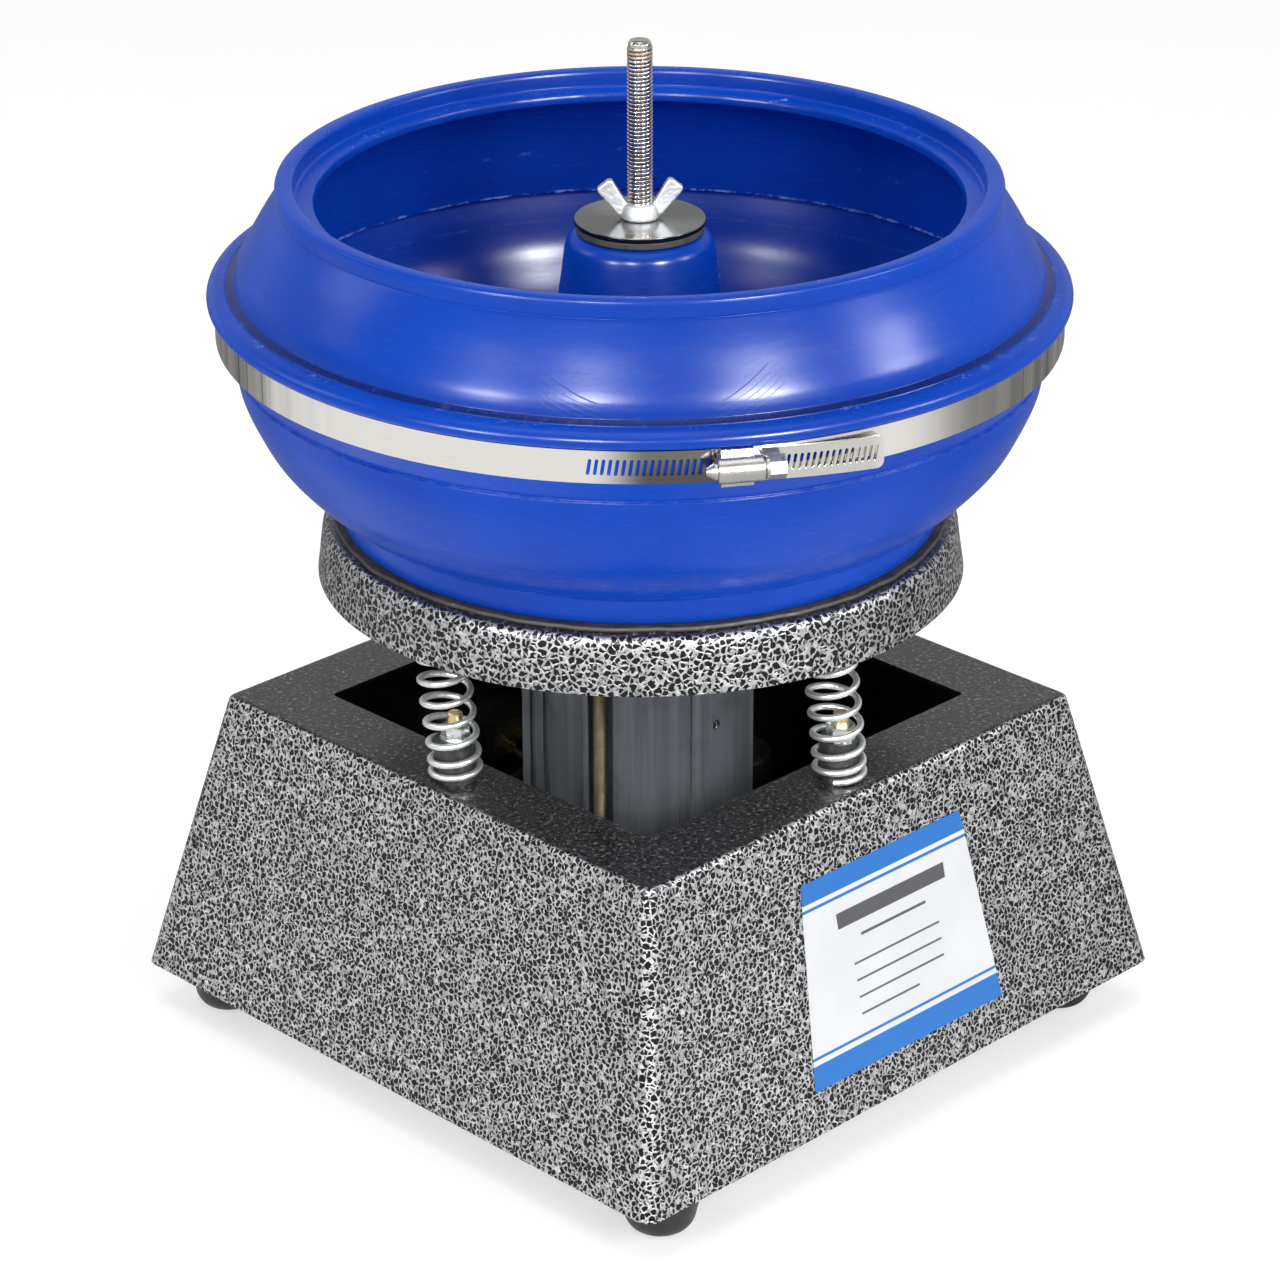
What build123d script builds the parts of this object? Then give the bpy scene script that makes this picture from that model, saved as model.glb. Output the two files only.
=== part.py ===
from build123d import *
import math
import os

# Vibratory rock tumbler: a sheet-metal base with four coil springs, a sprung drive tray with its
# motor and eccentric weight, and a two-piece round bowl held by a wing nut on a central stud.
# Millimetres, +Z up.  Origin: on the bowl axis, at the level of the floor.  Front is -Y.

# ---------------------------------------------------------------- driving dimensions
BASE_BOTTOM_HALF = 149.9      # half the side of the base at its lower edge
BASE_TOP_HALF = 122.4         # half the side of the base at its top
BASE_Z0, BASE_Z1 = 19.0, 142.3
BASE_HOLE_HALF = 91.6         # half the side of the square top opening
RETURN_HALF = 104.0           # half the opening inside the return flange under the base
SHEET = 1.5                   # steel sheet of the base
BASE_X, BASE_Y = 2.0, -2.0    # base centre: the sprung head settles off it
WALL_SLOPE = (BASE_BOTTOM_HALF - BASE_TOP_HALF) / (BASE_Z1 - BASE_Z0)
WALL_ANGLE = math.atan(WALL_SLOPE)
WALL_COS, WALL_SIN = math.cos(WALL_ANGLE), math.sin(WALL_ANGLE)

SPRING_POS = 107.0            # springs sit at the middle of each side
TRAY_R = 130.15               # lower edge of the tray skirt
TRAY_Z0, TRAY_Z1 = 202.4, 226.0
TRAY_T = 2.0
TRAY_UNDER = TRAY_Z1 - TRAY_T
BOWL_FOOT_Z = TRAY_Z1 + 2.0   # on top of the tray gasket

RIM_R, RIM_IN, RIM_Z = 166.2, 158.2, 318.6    # bowl rim under the clamp band
POST_TOP = 343.6              # top of the hollow post in the bowl
STUD_R, STUD_TOP = 5.0, 420.3

PARTS = []


def part(build):
    """Register a function that builds the piece of the same name."""
    PARTS.append(build)
    return build


# ---------------------------------------------------------------- shape helpers
def cyl(radius, bottom, top, x=0.0, y=0.0):
    align = (Align.CENTER, Align.CENTER, Align.MIN)
    return Pos(x, y, bottom) * Cylinder(radius, top - bottom, align=align)


def tube(inner, outer, bottom, top, x=0.0, y=0.0):
    return cyl(outer, bottom, top, x, y) - cyl(inner, bottom - 1, top + 1, x, y)


def hex_prism(flats, bottom, top, x=0.0, y=0.0, turn=0.0):
    hexagon = RegularPolygon(flats / 2, 6, major_radius=False)
    return Pos(x, y, bottom) * Rot(0, 0, turn) * extrude(hexagon, top - bottom)


def polygon(points):
    return make_face(Polyline(*points, close=True))


def revolve_outline(points):
    """Revolve a closed outline of (radius, z) points."""
    return revolve(polygon([(r, 0, z) for r, z in points]), Axis.Z)


def revolve_runs(start, *runs):
    """Revolve a (radius, z) profile; each run, straight or smooth, goes on from the last."""
    edges = []
    for kind, points in runs:
        path = [(r, 0, z) for r, z in [start] + points]
        if kind == "line":
            edges += [Line(a, b) for a, b in zip(path, path[1:])]
        else:
            edges.append(Spline(*path))
        start = points[-1]
    return revolve(make_face(edges), Axis.Z)


def polar(radius, degrees):
    angle = math.radians(degrees)
    return radius * math.cos(angle), radius * math.sin(angle)


def group(items):
    return Compound(children=[s if isinstance(s, Solid) else s.solid() for s in items])


def top_edges(shape):
    return shape.edges().group_by(Axis.Z)[-1]


def bottom_edges(shape):
    return shape.edges().group_by(Axis.Z)[0]


def two_widest_rims(shape):
    return shape.edges().filter_by(GeomType.CIRCLE).sort_by(SortBy.RADIUS)[-2:]


def pan_screw(x, y, under_head, diameter, head_r, head_h, length):
    """Cross-slotted pan head screw, head down and shank up."""
    head = cyl(head_r, under_head - head_h, under_head, x, y)
    head = fillet(bottom_edges(head), head_h * 0.45)
    screw = head + cyl(diameter / 2, under_head - 0.01, under_head + length, x, y)
    for across, along in ((1.3, 0.28), (0.28, 1.3)):
        screw -= Pos(x, y, under_head - head_h) * Box(head_r * across, head_r * along, head_h * 0.9)
    return screw


# ---------------------------------------------------------------- base housing
def at_base(x, y):
    return x + BASE_X, y + BASE_Y


def base_square(half, corner_r, z):
    return Pos(BASE_X, BASE_Y, z) * RectangleRounded(2 * half, 2 * half, corner_r)


def half_at(z):
    """Half the outer side of the base at height z."""
    return BASE_BOTTOM_HALF - WALL_SLOPE * (z - BASE_Z0)


def rear_plane(x):
    """Plane on the rear wall: x to the left of the product, y up the wall, z outward."""
    return Plane(
        origin=(x + BASE_X, BASE_Y + half_at(REAR_Z), REAR_Z),
        x_dir=(-1, 0, 0),
        z_dir=(0, WALL_COS, WALL_SIN),
    )


REAR_Z = 74.0                 # height of the switch and the inlet
SWITCH_X, INLET_X = -34.0, 38.0
INLET_SCREW_DX = 20.0
FEET = [at_base(x, y) for x, y in
        ((-122.8, -129.0), (-125.0, 125.0), (122.3, -122.3), (125.0, 125.0))]
SPRINGS = [(-SPRING_POS, 0), (0, -SPRING_POS), (SPRING_POS, 0), (0, SPRING_POS)]
SPRING_SEATS = [at_base(x, y) for x, y in SPRINGS]
COVER_SCREWS = [at_base(sx * x, sy * y) for x, y in ((107.4, 55.0), (55.0, 107.4))
                for sx in (-1, 1) for sy in (-1, 1)]
COVER_HALF, COVER_T = 111.0, 1.2
CAP_X, CAP_Y, CAP_R = 74.0, 20.0, 17.5    # capacitor
CLIP_X, CLIP_Y = CAP_X + CAP_R + 10.0, CAP_Y    # screw of its clip


@part
def base_housing():
    wall = SHEET / WALL_COS    # sheet measured level
    outer = loft([
        base_square(BASE_BOTTOM_HALF, 6.5, BASE_Z0),
        base_square(BASE_TOP_HALF, 4.5, BASE_Z1),
    ])
    outer = fillet(top_edges(outer), 3.0)
    ceiling = BASE_Z1 - SHEET
    inner = loft([
        base_square(BASE_BOTTOM_HALF - wall + WALL_SLOPE * 2, 5.2, BASE_Z0 - 2),
        base_square(half_at(ceiling) - wall, 3.2, ceiling),
    ])
    inner = fillet(top_edges(inner), 1.6)
    housing = outer - inner
    housing -= extrude(base_square(BASE_HOLE_HALF, 2.5, BASE_Z1 - 6), 12)
    flange = extrude(base_square(half_at(BASE_Z0 + SHEET) - wall * 0.5, 5.4, BASE_Z0), SHEET)
    flange -= extrude(base_square(RETURN_HALF, 8, BASE_Z0 - 1), SHEET + 2)
    housing += flange
    for x, y in FEET:
        housing -= cyl(2.7, BASE_Z0 - 1, BASE_Z0 + 3, x, y)
    for x, y in SPRING_SEATS:
        housing -= cyl(3.2, BASE_Z1 - 4, BASE_Z1 + 4, x, y)
    housing -= rear_plane(SWITCH_X) * (Pos(0, 0, -5) * Box(28.0, 20.0, 14.0))
    housing -= rear_plane(INLET_X) * (Pos(0, 0, -5) * Box(27.2, 20.2, 14.0))
    for side in (-1, 1):
        housing -= rear_plane(INLET_X) * (Pos(INLET_SCREW_DX * side, 0, 0) * Cylinder(1.75, 12))
    for x, y in COVER_SCREWS:
        housing -= cyl(1.6, BASE_Z0 - 1, BASE_Z0 + 3, x, y)
    return housing


@part
def bottom_cover():
    """Slotted plate, screwed under the return flange."""
    blank = chamfer(Rectangle(2 * COVER_HALF, 2 * COVER_HALF).vertices(), 20)
    cover = Pos(BASE_X, BASE_Y, BASE_Z0 - COVER_T) * extrude(blank, COVER_T)
    for i in range(-4, 5):
        slot = extrude(SlotOverall(90, 5, rotation=90), 4)
        cover -= Pos(BASE_X + 15 * i, BASE_Y, BASE_Z0 - 2) * slot
    for x, y in COVER_SCREWS:
        cover -= cyl(1.9, BASE_Z0 - 3, BASE_Z0 + 3, x, y)
    cover -= cyl(2.05, BASE_Z0 - 3, BASE_Z0 + 3, CLIP_X, CLIP_Y)
    return cover


@part
def bottom_cover_screws():
    return group([pan_screw(x, y, BASE_Z0 - COVER_T, diameter=3.1, head_r=3.0, head_h=2.0,
                            length=6.0) for x, y in COVER_SCREWS])


# ---------------------------------------------------------------- feet
FOOT_R_TOP, FOOT_R_LOW = 17.4, 14.6
FOOT_FLAT_R, FOOT_CURVE_Z = 8.0, 8.5    # flat underside, top of the rounded part
FOOT_RECESS_Z = 8.0           # seat of the screw head


def rubber_foot(x, y):
    flat_edge, curve_end = (FOOT_FLAT_R, 0, 0), (FOOT_R_LOW, 0, FOOT_CURVE_Z)
    top_edge, top_centre = (FOOT_R_TOP, 0, BASE_Z0), (0, 0, BASE_Z0)
    profile = Line((0, 0, 0), flat_edge) + Spline(
        flat_edge, (11.6, 0, 1.3), (13.7, 0, 4.6), curve_end, tangents=[(1, 0, 0), (0.22, 0, 1)])
    profile += Line(curve_end, top_edge) + Line(top_edge, top_centre) + Line(top_centre, (0, 0, 0))
    foot = Pos(x, y, 0) * revolve(make_face(profile.edges()), Axis.Z)
    foot -= cyl(5.0, -1, FOOT_RECESS_Z, x, y)
    foot -= cyl(2.6, 5, BASE_Z0 + 1, x, y)
    return foot


@part
def rubber_feet():
    return group([rubber_foot(x, y) for x, y in FEET])


@part
def foot_screws():
    return group([pan_screw(x, y, FOOT_RECESS_Z, diameter=5.0, head_r=4.6, head_h=3.2,
                            length=18.5) for x, y in FEET])


@part
def foot_nuts():
    seat = BASE_Z0 + SHEET
    return group([hex_prism(8.0, seat, seat + 4.0, x, y) - cyl(2.52, 0, 60, x, y)
                  for x, y in FEET])


# ---------------------------------------------------------------- springs and rubber bosses
SPRING_R, WIRE_R = 9.7, 1.3   # mean coil radius, wire radius
COILS = 9.4
COIL_Z0 = BASE_Z1 + 1.7
COIL_H = TRAY_UNDER - 1.6 - COIL_Z0
BOSS_R, BOSS_H = 8.25, 17.0
BOSS_TAPER = 0.5              # radius lost towards the free end
BOSS_BORE_R = 3.05
LOW_BOSS_TOP = BASE_Z1 + BOSS_H
UP_BOSS_LOW = TRAY_UNDER - BOSS_H
BOLT_R, BOLT_FLATS, BOLT_HEAD_H = 3.0, 10, 4.0
BOLT_REACH = 11.3             # bolt beyond the free end of the boss
NUT_BORE_R, NUT_H = 3.02, 5.0
WASHER_R, WASHER_T = 6.2, 0.9


def coil_spring(x, y, seat_x, seat_y):
    """Spring leaning from its seat on the base to its place under the tray."""
    path = Helix(pitch=COIL_H / COILS, height=COIL_H, radius=SPRING_R,
                 center=(seat_x, seat_y, COIL_Z0),
                 direction=(x - seat_x, y - seat_y, TRAY_UNDER - BASE_Z1))
    section = Plane(origin=path @ 0, z_dir=path % 0) * Circle(WIRE_R)
    return sweep(section, path=path, is_frenet=True)


@part
def support_springs():
    return group([coil_spring(*place, *seat) for place, seat in zip(SPRINGS, SPRING_SEATS)])


@part
def lower_spring_bosses():
    return group([
        loft([Pos(x, y, BASE_Z1) * Circle(BOSS_R),
              Pos(x - 0.56, y + 0.57, LOW_BOSS_TOP) * Circle(BOSS_R - BOSS_TAPER)])
        - cyl(BOSS_BORE_R, BASE_Z1 - 1, LOW_BOSS_TOP + 1, x, y)
        for x, y in SPRING_SEATS])


@part
def upper_spring_bosses():
    return group([
        loft([Pos(x + 0.4, y - 0.4, UP_BOSS_LOW) * Circle(BOSS_R - BOSS_TAPER),
              Pos(x, y, TRAY_UNDER) * Circle(BOSS_R)])
        - cyl(BOSS_BORE_R, UP_BOSS_LOW - 1, TRAY_UNDER + 1, x, y)
        for x, y in SPRINGS])


@part
def lower_spring_bolts():
    under = BASE_Z1 - SHEET
    bolts = []
    for x, y in SPRING_SEATS:
        bolt = hex_prism(BOLT_FLATS, under - BOLT_HEAD_H, under, x, y)
        bolt += cyl(BOLT_R, under - 0.01, LOW_BOSS_TOP + BOLT_REACH, x, y)
        bolts.append(chamfer(top_edges(bolt), 0.6))
    return group(bolts)


@part
def upper_spring_bolts():
    bolts = []
    for x, y in SPRINGS:
        bolt = hex_prism(BOLT_FLATS, TRAY_Z1, TRAY_Z1 + BOLT_HEAD_H, x, y)
        bolt += cyl(BOLT_R, UP_BOSS_LOW - BOLT_REACH, TRAY_Z1 + 0.01, x, y)
        bolts.append(chamfer(bottom_edges(bolt), 0.6))
    return group(bolts)


def washer_nut(x, y, nut_z, washer_z, turn):
    nut = hex_prism(BOLT_FLATS, nut_z, nut_z + NUT_H, x, y, turn) - cyl(NUT_BORE_R, 0, 400, x, y)
    return nut + tube(NUT_BORE_R, WASHER_R, washer_z, washer_z + WASHER_T, x, y)


@part
def lower_spring_nuts():
    return group([washer_nut(x, y, LOW_BOSS_TOP + WASHER_T, LOW_BOSS_TOP, turn=10)
                  for x, y in SPRING_SEATS])


@part
def upper_spring_nuts():
    washer_z = UP_BOSS_LOW - WASHER_T
    return group([washer_nut(x, y, washer_z - NUT_H, washer_z, turn=25) for x, y in SPRINGS])


# ---------------------------------------------------------------- front label
@part
def label_plate():
    front = Plane(origin=(BASE_X, BASE_Y - half_at(BASE_Z0), BASE_Z0), x_dir=(1, 0, 0),
                  z_dir=(0, -WALL_COS, WALL_SIN))
    # x across the wall, y up the wall from its lower edge
    outline = [(-44.6, 100.8), (-53.8, 17.6), (57.3, 17.6), (48.1, 100.8)]
    label = extrude(polygon(outline), 0.3)
    label = fillet(label.edges().filter_by(Axis.Z), 0.8)
    return front * (Pos(0, 0, 0.02) * label)


# ---------------------------------------------------------------- switch, inlet, capacitor
SWITCH_TAB_DX = (-8, 0, 8)
PINS = [(-7, -1.5), (0, 2.0), (7, -1.5)]    # x, y on the inlet


@part
def switch_body():
    switch = Pos(0, 0, 1.0) * Box(32.0, 25.0, 2.0) + Pos(0, 0, -8.5) * Box(27.4, 19.4, 17.0)
    switch = fillet(switch.edges().filter_by(Axis.Z), 1.2)
    switch -= Pos(0, 0, -1.5) * Box(23.4, 15.4, 11.0)
    switch -= Rot(90, 0, 0) * Cylinder(1.55, 17.4)
    return rear_plane(SWITCH_X) * switch


@part
def switch_rocker():
    # x across the switch, y outward from the wall
    outline = [(-10.8, 3.9), (0, 1.6), (10.8, 3.0), (9.6, -3.6), (0, -4.6), (-9.6, -3.6)]
    rocker = extrude(Plane.XZ * polygon(outline), 7.4, both=True)
    rocker = fillet(rocker.edges().filter_by(Axis.Y).group_by(Axis.Z)[-1], 0.6)
    rocker += Rot(90, 0, 0) * Cylinder(1.5, 17.2)
    return rear_plane(SWITCH_X) * rocker


@part
def switch_terminals():
    return group([rear_plane(SWITCH_X) * (Pos(dx, 0, -20.5) * Box(0.8, 6.3, 7.0))
                  for dx in SWITCH_TAB_DX])


@part
def power_inlet():
    inlet = Pos(0, 0, 1.2) * Box(50.0, 22.6, 2.4)
    inlet = fillet(inlet.edges().filter_by(Axis.Z), 7.0)
    inlet += Pos(0, 0, -9.0) * Box(26.6, 19.6, 18.0)
    socket = chamfer(Rectangle(24.0, 16.4).vertices().group_by(Axis.Y)[-1], 4.5)
    inlet -= Pos(0, 0, -6.0) * extrude(socket, 12)
    for side in (-1, 1):
        inlet -= Pos(INLET_SCREW_DX * side, 0, 0) * Cylinder(1.8, 12)
        inlet -= Pos(INLET_SCREW_DX * side, 0, 2.4) * Cone(1.8, 3.6, 2.4)
    for x, y in PINS:
        inlet -= Pos(x, y, -12) * Box(2.1, 4.1, 30)
    return rear_plane(INLET_X) * inlet


@part
def inlet_pins():
    return group([rear_plane(INLET_X) * (Pos(x, y, -13.5) * Box(2.0, 4.0, 22.0))
                  for x, y in PINS])


@part
def inlet_screws():
    screws = []
    for x in (-INLET_SCREW_DX, INLET_SCREW_DX):
        screw = Pos(x, 0, 2.35) * Cone(1.7, 3.4, 2.0) + Pos(x, 0, -4.5) * Cylinder(1.6, 13.5)
        screw -= Pos(x, 0, 3.4) * Box(4.4, 0.8, 1.4)
        screws.append(rear_plane(INLET_X) * screw)
    return group(screws)


CAP_TAB_DX = 6


@part
def run_capacitor():
    cap = cyl(CAP_R, BASE_Z0 + 0.02, BASE_Z0 + 66, CAP_X, CAP_Y)
    cap = fillet(top_edges(cap), 2.0)
    tabs = [Pos(CAP_X + dx, CAP_Y, BASE_Z0 + 69) * Box(0.8, 6.3, 8)
            for dx in (-CAP_TAB_DX, CAP_TAB_DX)]
    return cap + tabs[0] + tabs[1]


@part
def capacitor_clip():
    """Ring round the capacitor with an upright strap and a screwed foot."""
    bore_r, edge_x = CAP_R + 0.05, CAP_X + CAP_R
    clip = tube(bore_r, CAP_R + 1.5, BASE_Z0 + 24, BASE_Z0 + 40, CAP_X, CAP_Y)
    clip += Pos(edge_x + 0.9, CAP_Y, BASE_Z0 + 20.02) * Box(1.5, 16, 40)
    clip -= cyl(bore_r, BASE_Z0 - 1, BASE_Z0 + 60, CAP_X, CAP_Y)
    clip += Pos(edge_x + 7.0, CAP_Y, BASE_Z0 + 0.77) * Box(13.2, 16, 1.5)
    clip -= cyl(2.2, BASE_Z0 - 2, BASE_Z0 + 4, CLIP_X, CLIP_Y)
    return clip


@part
def capacitor_clip_screw():
    screw = cyl(2.0, BASE_Z0 - 3.2, BASE_Z0 + 1.6, CLIP_X, CLIP_Y)
    screw += cyl(3.4, BASE_Z0 + 1.54, BASE_Z0 + 4.0, CLIP_X, CLIP_Y)
    screw -= Pos(CLIP_X, CLIP_Y, BASE_Z0 + 4.0) * Box(4.8, 1.0, 1.6)
    return screw


# ---------------------------------------------------------------- wires
def wire(points, radius, start, end):
    """Insulated lead through the points, leaving along start and arriving along end."""
    path = Spline(*points, tangents=(start, end))
    return sweep(Plane(origin=path @ 0, z_dir=path % 0) * Circle(radius), path=path)


def on_rear(wall_x, x, y, z):
    return tuple(rear_plane(wall_x).from_local_coords(Vector(x, y, z)))


@part
def supply_wires():
    inward, outward, down = (0, -WALL_COS, -WALL_SIN), (0, WALL_COS, WALL_SIN), (0, 0, -1)
    live_pin, other_pin = [on_rear(INLET_X, *PINS[i], -25.0) for i in (0, 2)]
    middle_tab, end_tab = [on_rear(SWITCH_X, dx, 0, -24.5) for dx in SWITCH_TAB_DX[1:]]
    near_cap, far_cap = [(CAP_X + dx, CAP_Y, 92.3) for dx in (-CAP_TAB_DX, CAP_TAB_DX)]
    # way points, start direction, end direction
    runs = [
        ([live_pin, (50, 78, 62), (62, 60, 84), (68, 34, 103), near_cap], inward, down),
        ([end_tab, (-40, 76, 60), (-4, 70, 46), (24, 84, 48), other_pin], inward, outward),
        ([middle_tab, (-26, 70, 78), (20, 66, 88), (60, 40, 108), far_cap], inward, down),
    ]
    return group([wire(points, 1.6, start, end) for points, start, end in runs])


@part
def motor_lead():
    points = [(22.0, 38.5, 79.9), (25.0, 46.0, 66.0), (32.0, 58.0, 60.0), (44.0, 66.0, 72.0),
              (50.0, 64.0, 90.0)]
    return wire(points, 3.0, (0, 0, -1), (0, 0, 1))


# ---------------------------------------------------------------- drive tray, gasket, stud
MOUNTS = [polar(39.0, angle) for angle in (0, 90, 180, 270)]    # motor mounting screws


@part
def drive_tray():
    tray = revolve_runs(
        (6.2, TRAY_Z1),
        ("line", [(122.7, TRAY_Z1)]),
        ("curve", [(125.4, 225.3), (127.0, 223.6), (127.75, 221.0)]),
        ("line", [(TRAY_R, TRAY_Z0), (TRAY_R - TRAY_T, TRAY_Z0), (125.75, 220.8)]),
        ("curve", [(125.1, 222.6), (124.1, 223.6), (122.6, TRAY_UNDER)]),
        ("line", [(6.2, TRAY_UNDER), (6.2, TRAY_Z1)]),
    )
    for x, y in SPRINGS:
        tray -= cyl(3.2, TRAY_UNDER - 1, TRAY_Z1 + 1, x, y)
    for x, y in MOUNTS:
        tray -= cyl(3.1, TRAY_UNDER - 1, TRAY_Z1 + 1, x, y)
        tray -= Pos(x, y, TRAY_Z1 - 0.8) * Cone(3.1, 4.9, 1.8)
    return tray


@part
def tray_gasket():
    return revolve_outline([
        (113.3, TRAY_Z1 + 0.03), (122.4, TRAY_Z1 + 0.03), (123.2, TRAY_Z1 + 0.3),
        (123.2, TRAY_Z1 + 1.6), (122.8, BOWL_FOOT_Z), (113.3, BOWL_FOOT_Z)])


STUD_WASHER_TOP = TRAY_Z1 + 2.0


@part
def center_stud():
    stud = cyl(STUD_R - 0.05, 216.8, 362.0) + cyl(STUD_R, 361.9, STUD_TOP)
    stud = chamfer(top_edges(stud), 1.1)
    return chamfer(bottom_edges(stud), 1.0)


@part
def stud_nuts():
    bore = cyl(STUD_R + 0.02, 0, 500)
    return group([hex_prism(17, 217.8, TRAY_UNDER, turn=12) - bore,
                  hex_prism(17, STUD_WASHER_TOP, STUD_WASHER_TOP + 8, turn=5) - bore])


@part
def stud_washer():
    return tube(STUD_R + 0.3, 12.5, TRAY_Z1, STUD_WASHER_TOP)


# ---------------------------------------------------------------- motor
MOTOR_Z0, MOTOR_Z1 = 92.0, 212.0
MOTOR_TURN = -45.37
MOTOR_BORE_R = 32.5
BELL_R = 45.0
LOW_BELL_Z = 80.0
TIE_X, TIE_Y = -36.2, -16.2
TIES = [polar(math.hypot(36.2, 16.2), MOTOR_TURN + math.degrees(math.atan2(-36.2, -16.2)) + 90 * k)
        for k in range(4)]
EARTH_PLANE = Plane(origin=Vector(30.6, -28.7, 142.5).rotate(Axis.Z, MOTOR_TURN),
                    x_dir=(0, 0, 1), z_dir=(*polar(1, MOTOR_TURN - 45), 0))
BEARINGS = (199.5, 94.5)      # lower faces, upper bearing first
BEARING_H, BEARING_R = 10, 15.98
BALL_RING_R = 11.0
SHAFT_R = 6.0
SHAFT_BORE_R = SHAFT_R + 0.02
STACK_Z0, STACK_Z1 = 128.0, 178.0    # stator and rotor cores

# Section of the motor housing before its turn: x, y
MOTOR_OUTLINE = [
    (-1.4, -46.0), (14.9, -41.0), (15.1, -38.6), (20.6, -36.4), (21.0, -38.2), (25.0, -36.2),
    (25.5, -33.8), (44.8, -14.5), (45.8, -12.5), (45.8, 12.5), (44.8, 14.5), (25.5, 33.8),
    (20.9, 39.2), (20.9, 38.4), (20.6, 29.0), (11.2, 33.4), (10.8, 44.6), (-1.4, 46.0),
    (-16.0, 41.5), (-26.5, 34.5), (-45.6, 15.0), (-48.4, 12.0), (-48.4, -11.6), (-47.4, -14.6),
    (-45.1, -17.4), (-44.9, -15.2), (-42.6, -18.0), (-42.4, -21.2), (-39.6, -24.0),
    (-39.4, -21.8), (-36.8, -24.4), (-36.6, -26.9), (-23.4, -36.4), (-23.0, -38.4),
    (-21.2, -39.2), (-20.6, -29.2), (-11.2, -33.4), (-10.8, -44.2),
]


@part
def motor_housing():
    shell = extrude(Rot(0, 0, MOTOR_TURN) * polygon(MOTOR_OUTLINE), MOTOR_Z1 - MOTOR_Z0)
    shell = Pos(0, 0, MOTOR_Z0) * shell
    shell -= cyl(MOTOR_BORE_R, MOTOR_Z0 - 1, MOTOR_Z1 + 1)
    for x, y in TIES:
        shell -= cyl(2.9, MOTOR_Z0 - 1, MOTOR_Z1 + 1, x, y)
    shell -= EARTH_PLANE * Cylinder(2.05, 8)
    return shell


@part
def motor_earth_screw():
    screw = Pos(0, 0, -1.8) * Cylinder(2.0, 3.8)
    screw -= Pos(0, 0, 0.2) * Box(3.2, 0.7, 1.2)
    return EARTH_PLANE * screw


@part
def motor_top_bell():
    seat = BEARINGS[0]
    bell = cyl(BELL_R, MOTOR_Z1, TRAY_UNDER) - cyl(13.0, 216.4, TRAY_UNDER + 1)
    bell += cyl(20.0, seat, MOTOR_Z1 + 0.5)
    bell -= cyl(16.0, seat - 1, seat + BEARING_H)
    bell -= cyl(7.0, 209.0, 213.0)
    for x, y in TIES:
        bell -= cyl(2.9, MOTOR_Z1 - 1, MOTOR_Z1 + 8, x, y)
        bell -= cyl(5.2, MOTOR_Z1 + 7.0, TRAY_UNDER + 1, x, y)
    for x, y in MOUNTS:
        bell -= cyl(2.9, MOTOR_Z1 + 2, TRAY_UNDER + 1, x, y)
    return bell


@part
def motor_bottom_bell():
    seat = BEARINGS[1]
    bell = cyl(BELL_R, LOW_BELL_Z, MOTOR_Z0) + cyl(20.0, MOTOR_Z0 - 0.5, seat + BEARING_H)
    bell -= cyl(16.0, seat, seat + BEARING_H + 1)
    bell -= cyl(7.5, LOW_BELL_Z - 1, 96.0)
    for x, y in TIES:
        bell -= cyl(2.9, LOW_BELL_Z - 1, MOTOR_Z0 + 1, x, y)
    return bell


@part
def motor_tie_bolts():
    return group([cyl(2.75, 74.0, MOTOR_Z1 + 7.5, x, y)
                  + cyl(4.6, MOTOR_Z1 + 7.0, MOTOR_Z1 + 10.6, x, y)
                  + hex_prism(8.5, 75.5, LOW_BELL_Z, x, y) for x, y in TIES])


@part
def motor_mount_screws():
    screws = []
    for x, y in MOUNTS:
        screw = cyl(2.85, MOTOR_Z1 + 4, TRAY_Z1 - 0.2, x, y)
        screw += Pos(x, y, TRAY_Z1 - 0.95) * Cone(2.9, 4.6, 1.7)
        screw -= Pos(x, y, TRAY_Z1) * Box(5.4, 1.2, 1.6)
        screws.append(screw)
    return group(screws)


def stator_bars(width, thickness):
    """Twelve upright bars in a ring, one for each stator slot."""
    bar = Pos(25.0, 0, (STACK_Z0 + STACK_Z1) / 2) * Box(width, thickness, 60)
    return [Rot(0, 0, 30 * k) * bar for k in range(12)]


@part
def stator_core():
    core = tube(20.0, MOTOR_BORE_R - 0.02, STACK_Z0, STACK_Z1)
    for bar in stator_bars(7.0, 6.4):
        core -= bar
    return core


@part
def stator_windings():
    windings = tube(21.6, 30.8, STACK_Z1 + 0.6, 194.0) + tube(21.6, 30.8, 112.0, STACK_Z0 - 0.6)
    windings = fillet(windings.edges().filter_by(GeomType.CIRCLE), 2.6)
    for bar in stator_bars(6.2, 5.8):
        windings += bar
    return windings


def bearing_races(inner, outer):
    """A ring for each bearing, with the ball groove cut in it."""
    return group([tube(inner, outer, z, z + BEARING_H)
                  - Pos(0, 0, z + BEARING_H / 2) * Torus(BALL_RING_R, 2.6) for z in BEARINGS])


@part
def bearing_outer_races():
    return bearing_races(12.4, BEARING_R)


@part
def bearing_inner_races():
    return bearing_races(SHAFT_BORE_R, 9.6)


@part
def bearing_balls():
    return group([Pos(*polar(BALL_RING_R, 45 * k), z + BEARING_H / 2) * Sphere(2.55)
                  for z in BEARINGS for k in range(8)])


@part
def rotor_shaft():
    shaft = cyl(SHAFT_R, 47.0, 209.0)
    return chamfer(bottom_edges(shaft), 0.8)


@part
def rotor_core():
    return tube(SHAFT_BORE_R, 19.5, STACK_Z0, STACK_Z1)


@part
def rotor_cage_rings():
    return group([tube(10.0, 18.8, z, z + 6) for z in (STACK_Z1, STACK_Z0 - 6)])


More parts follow.
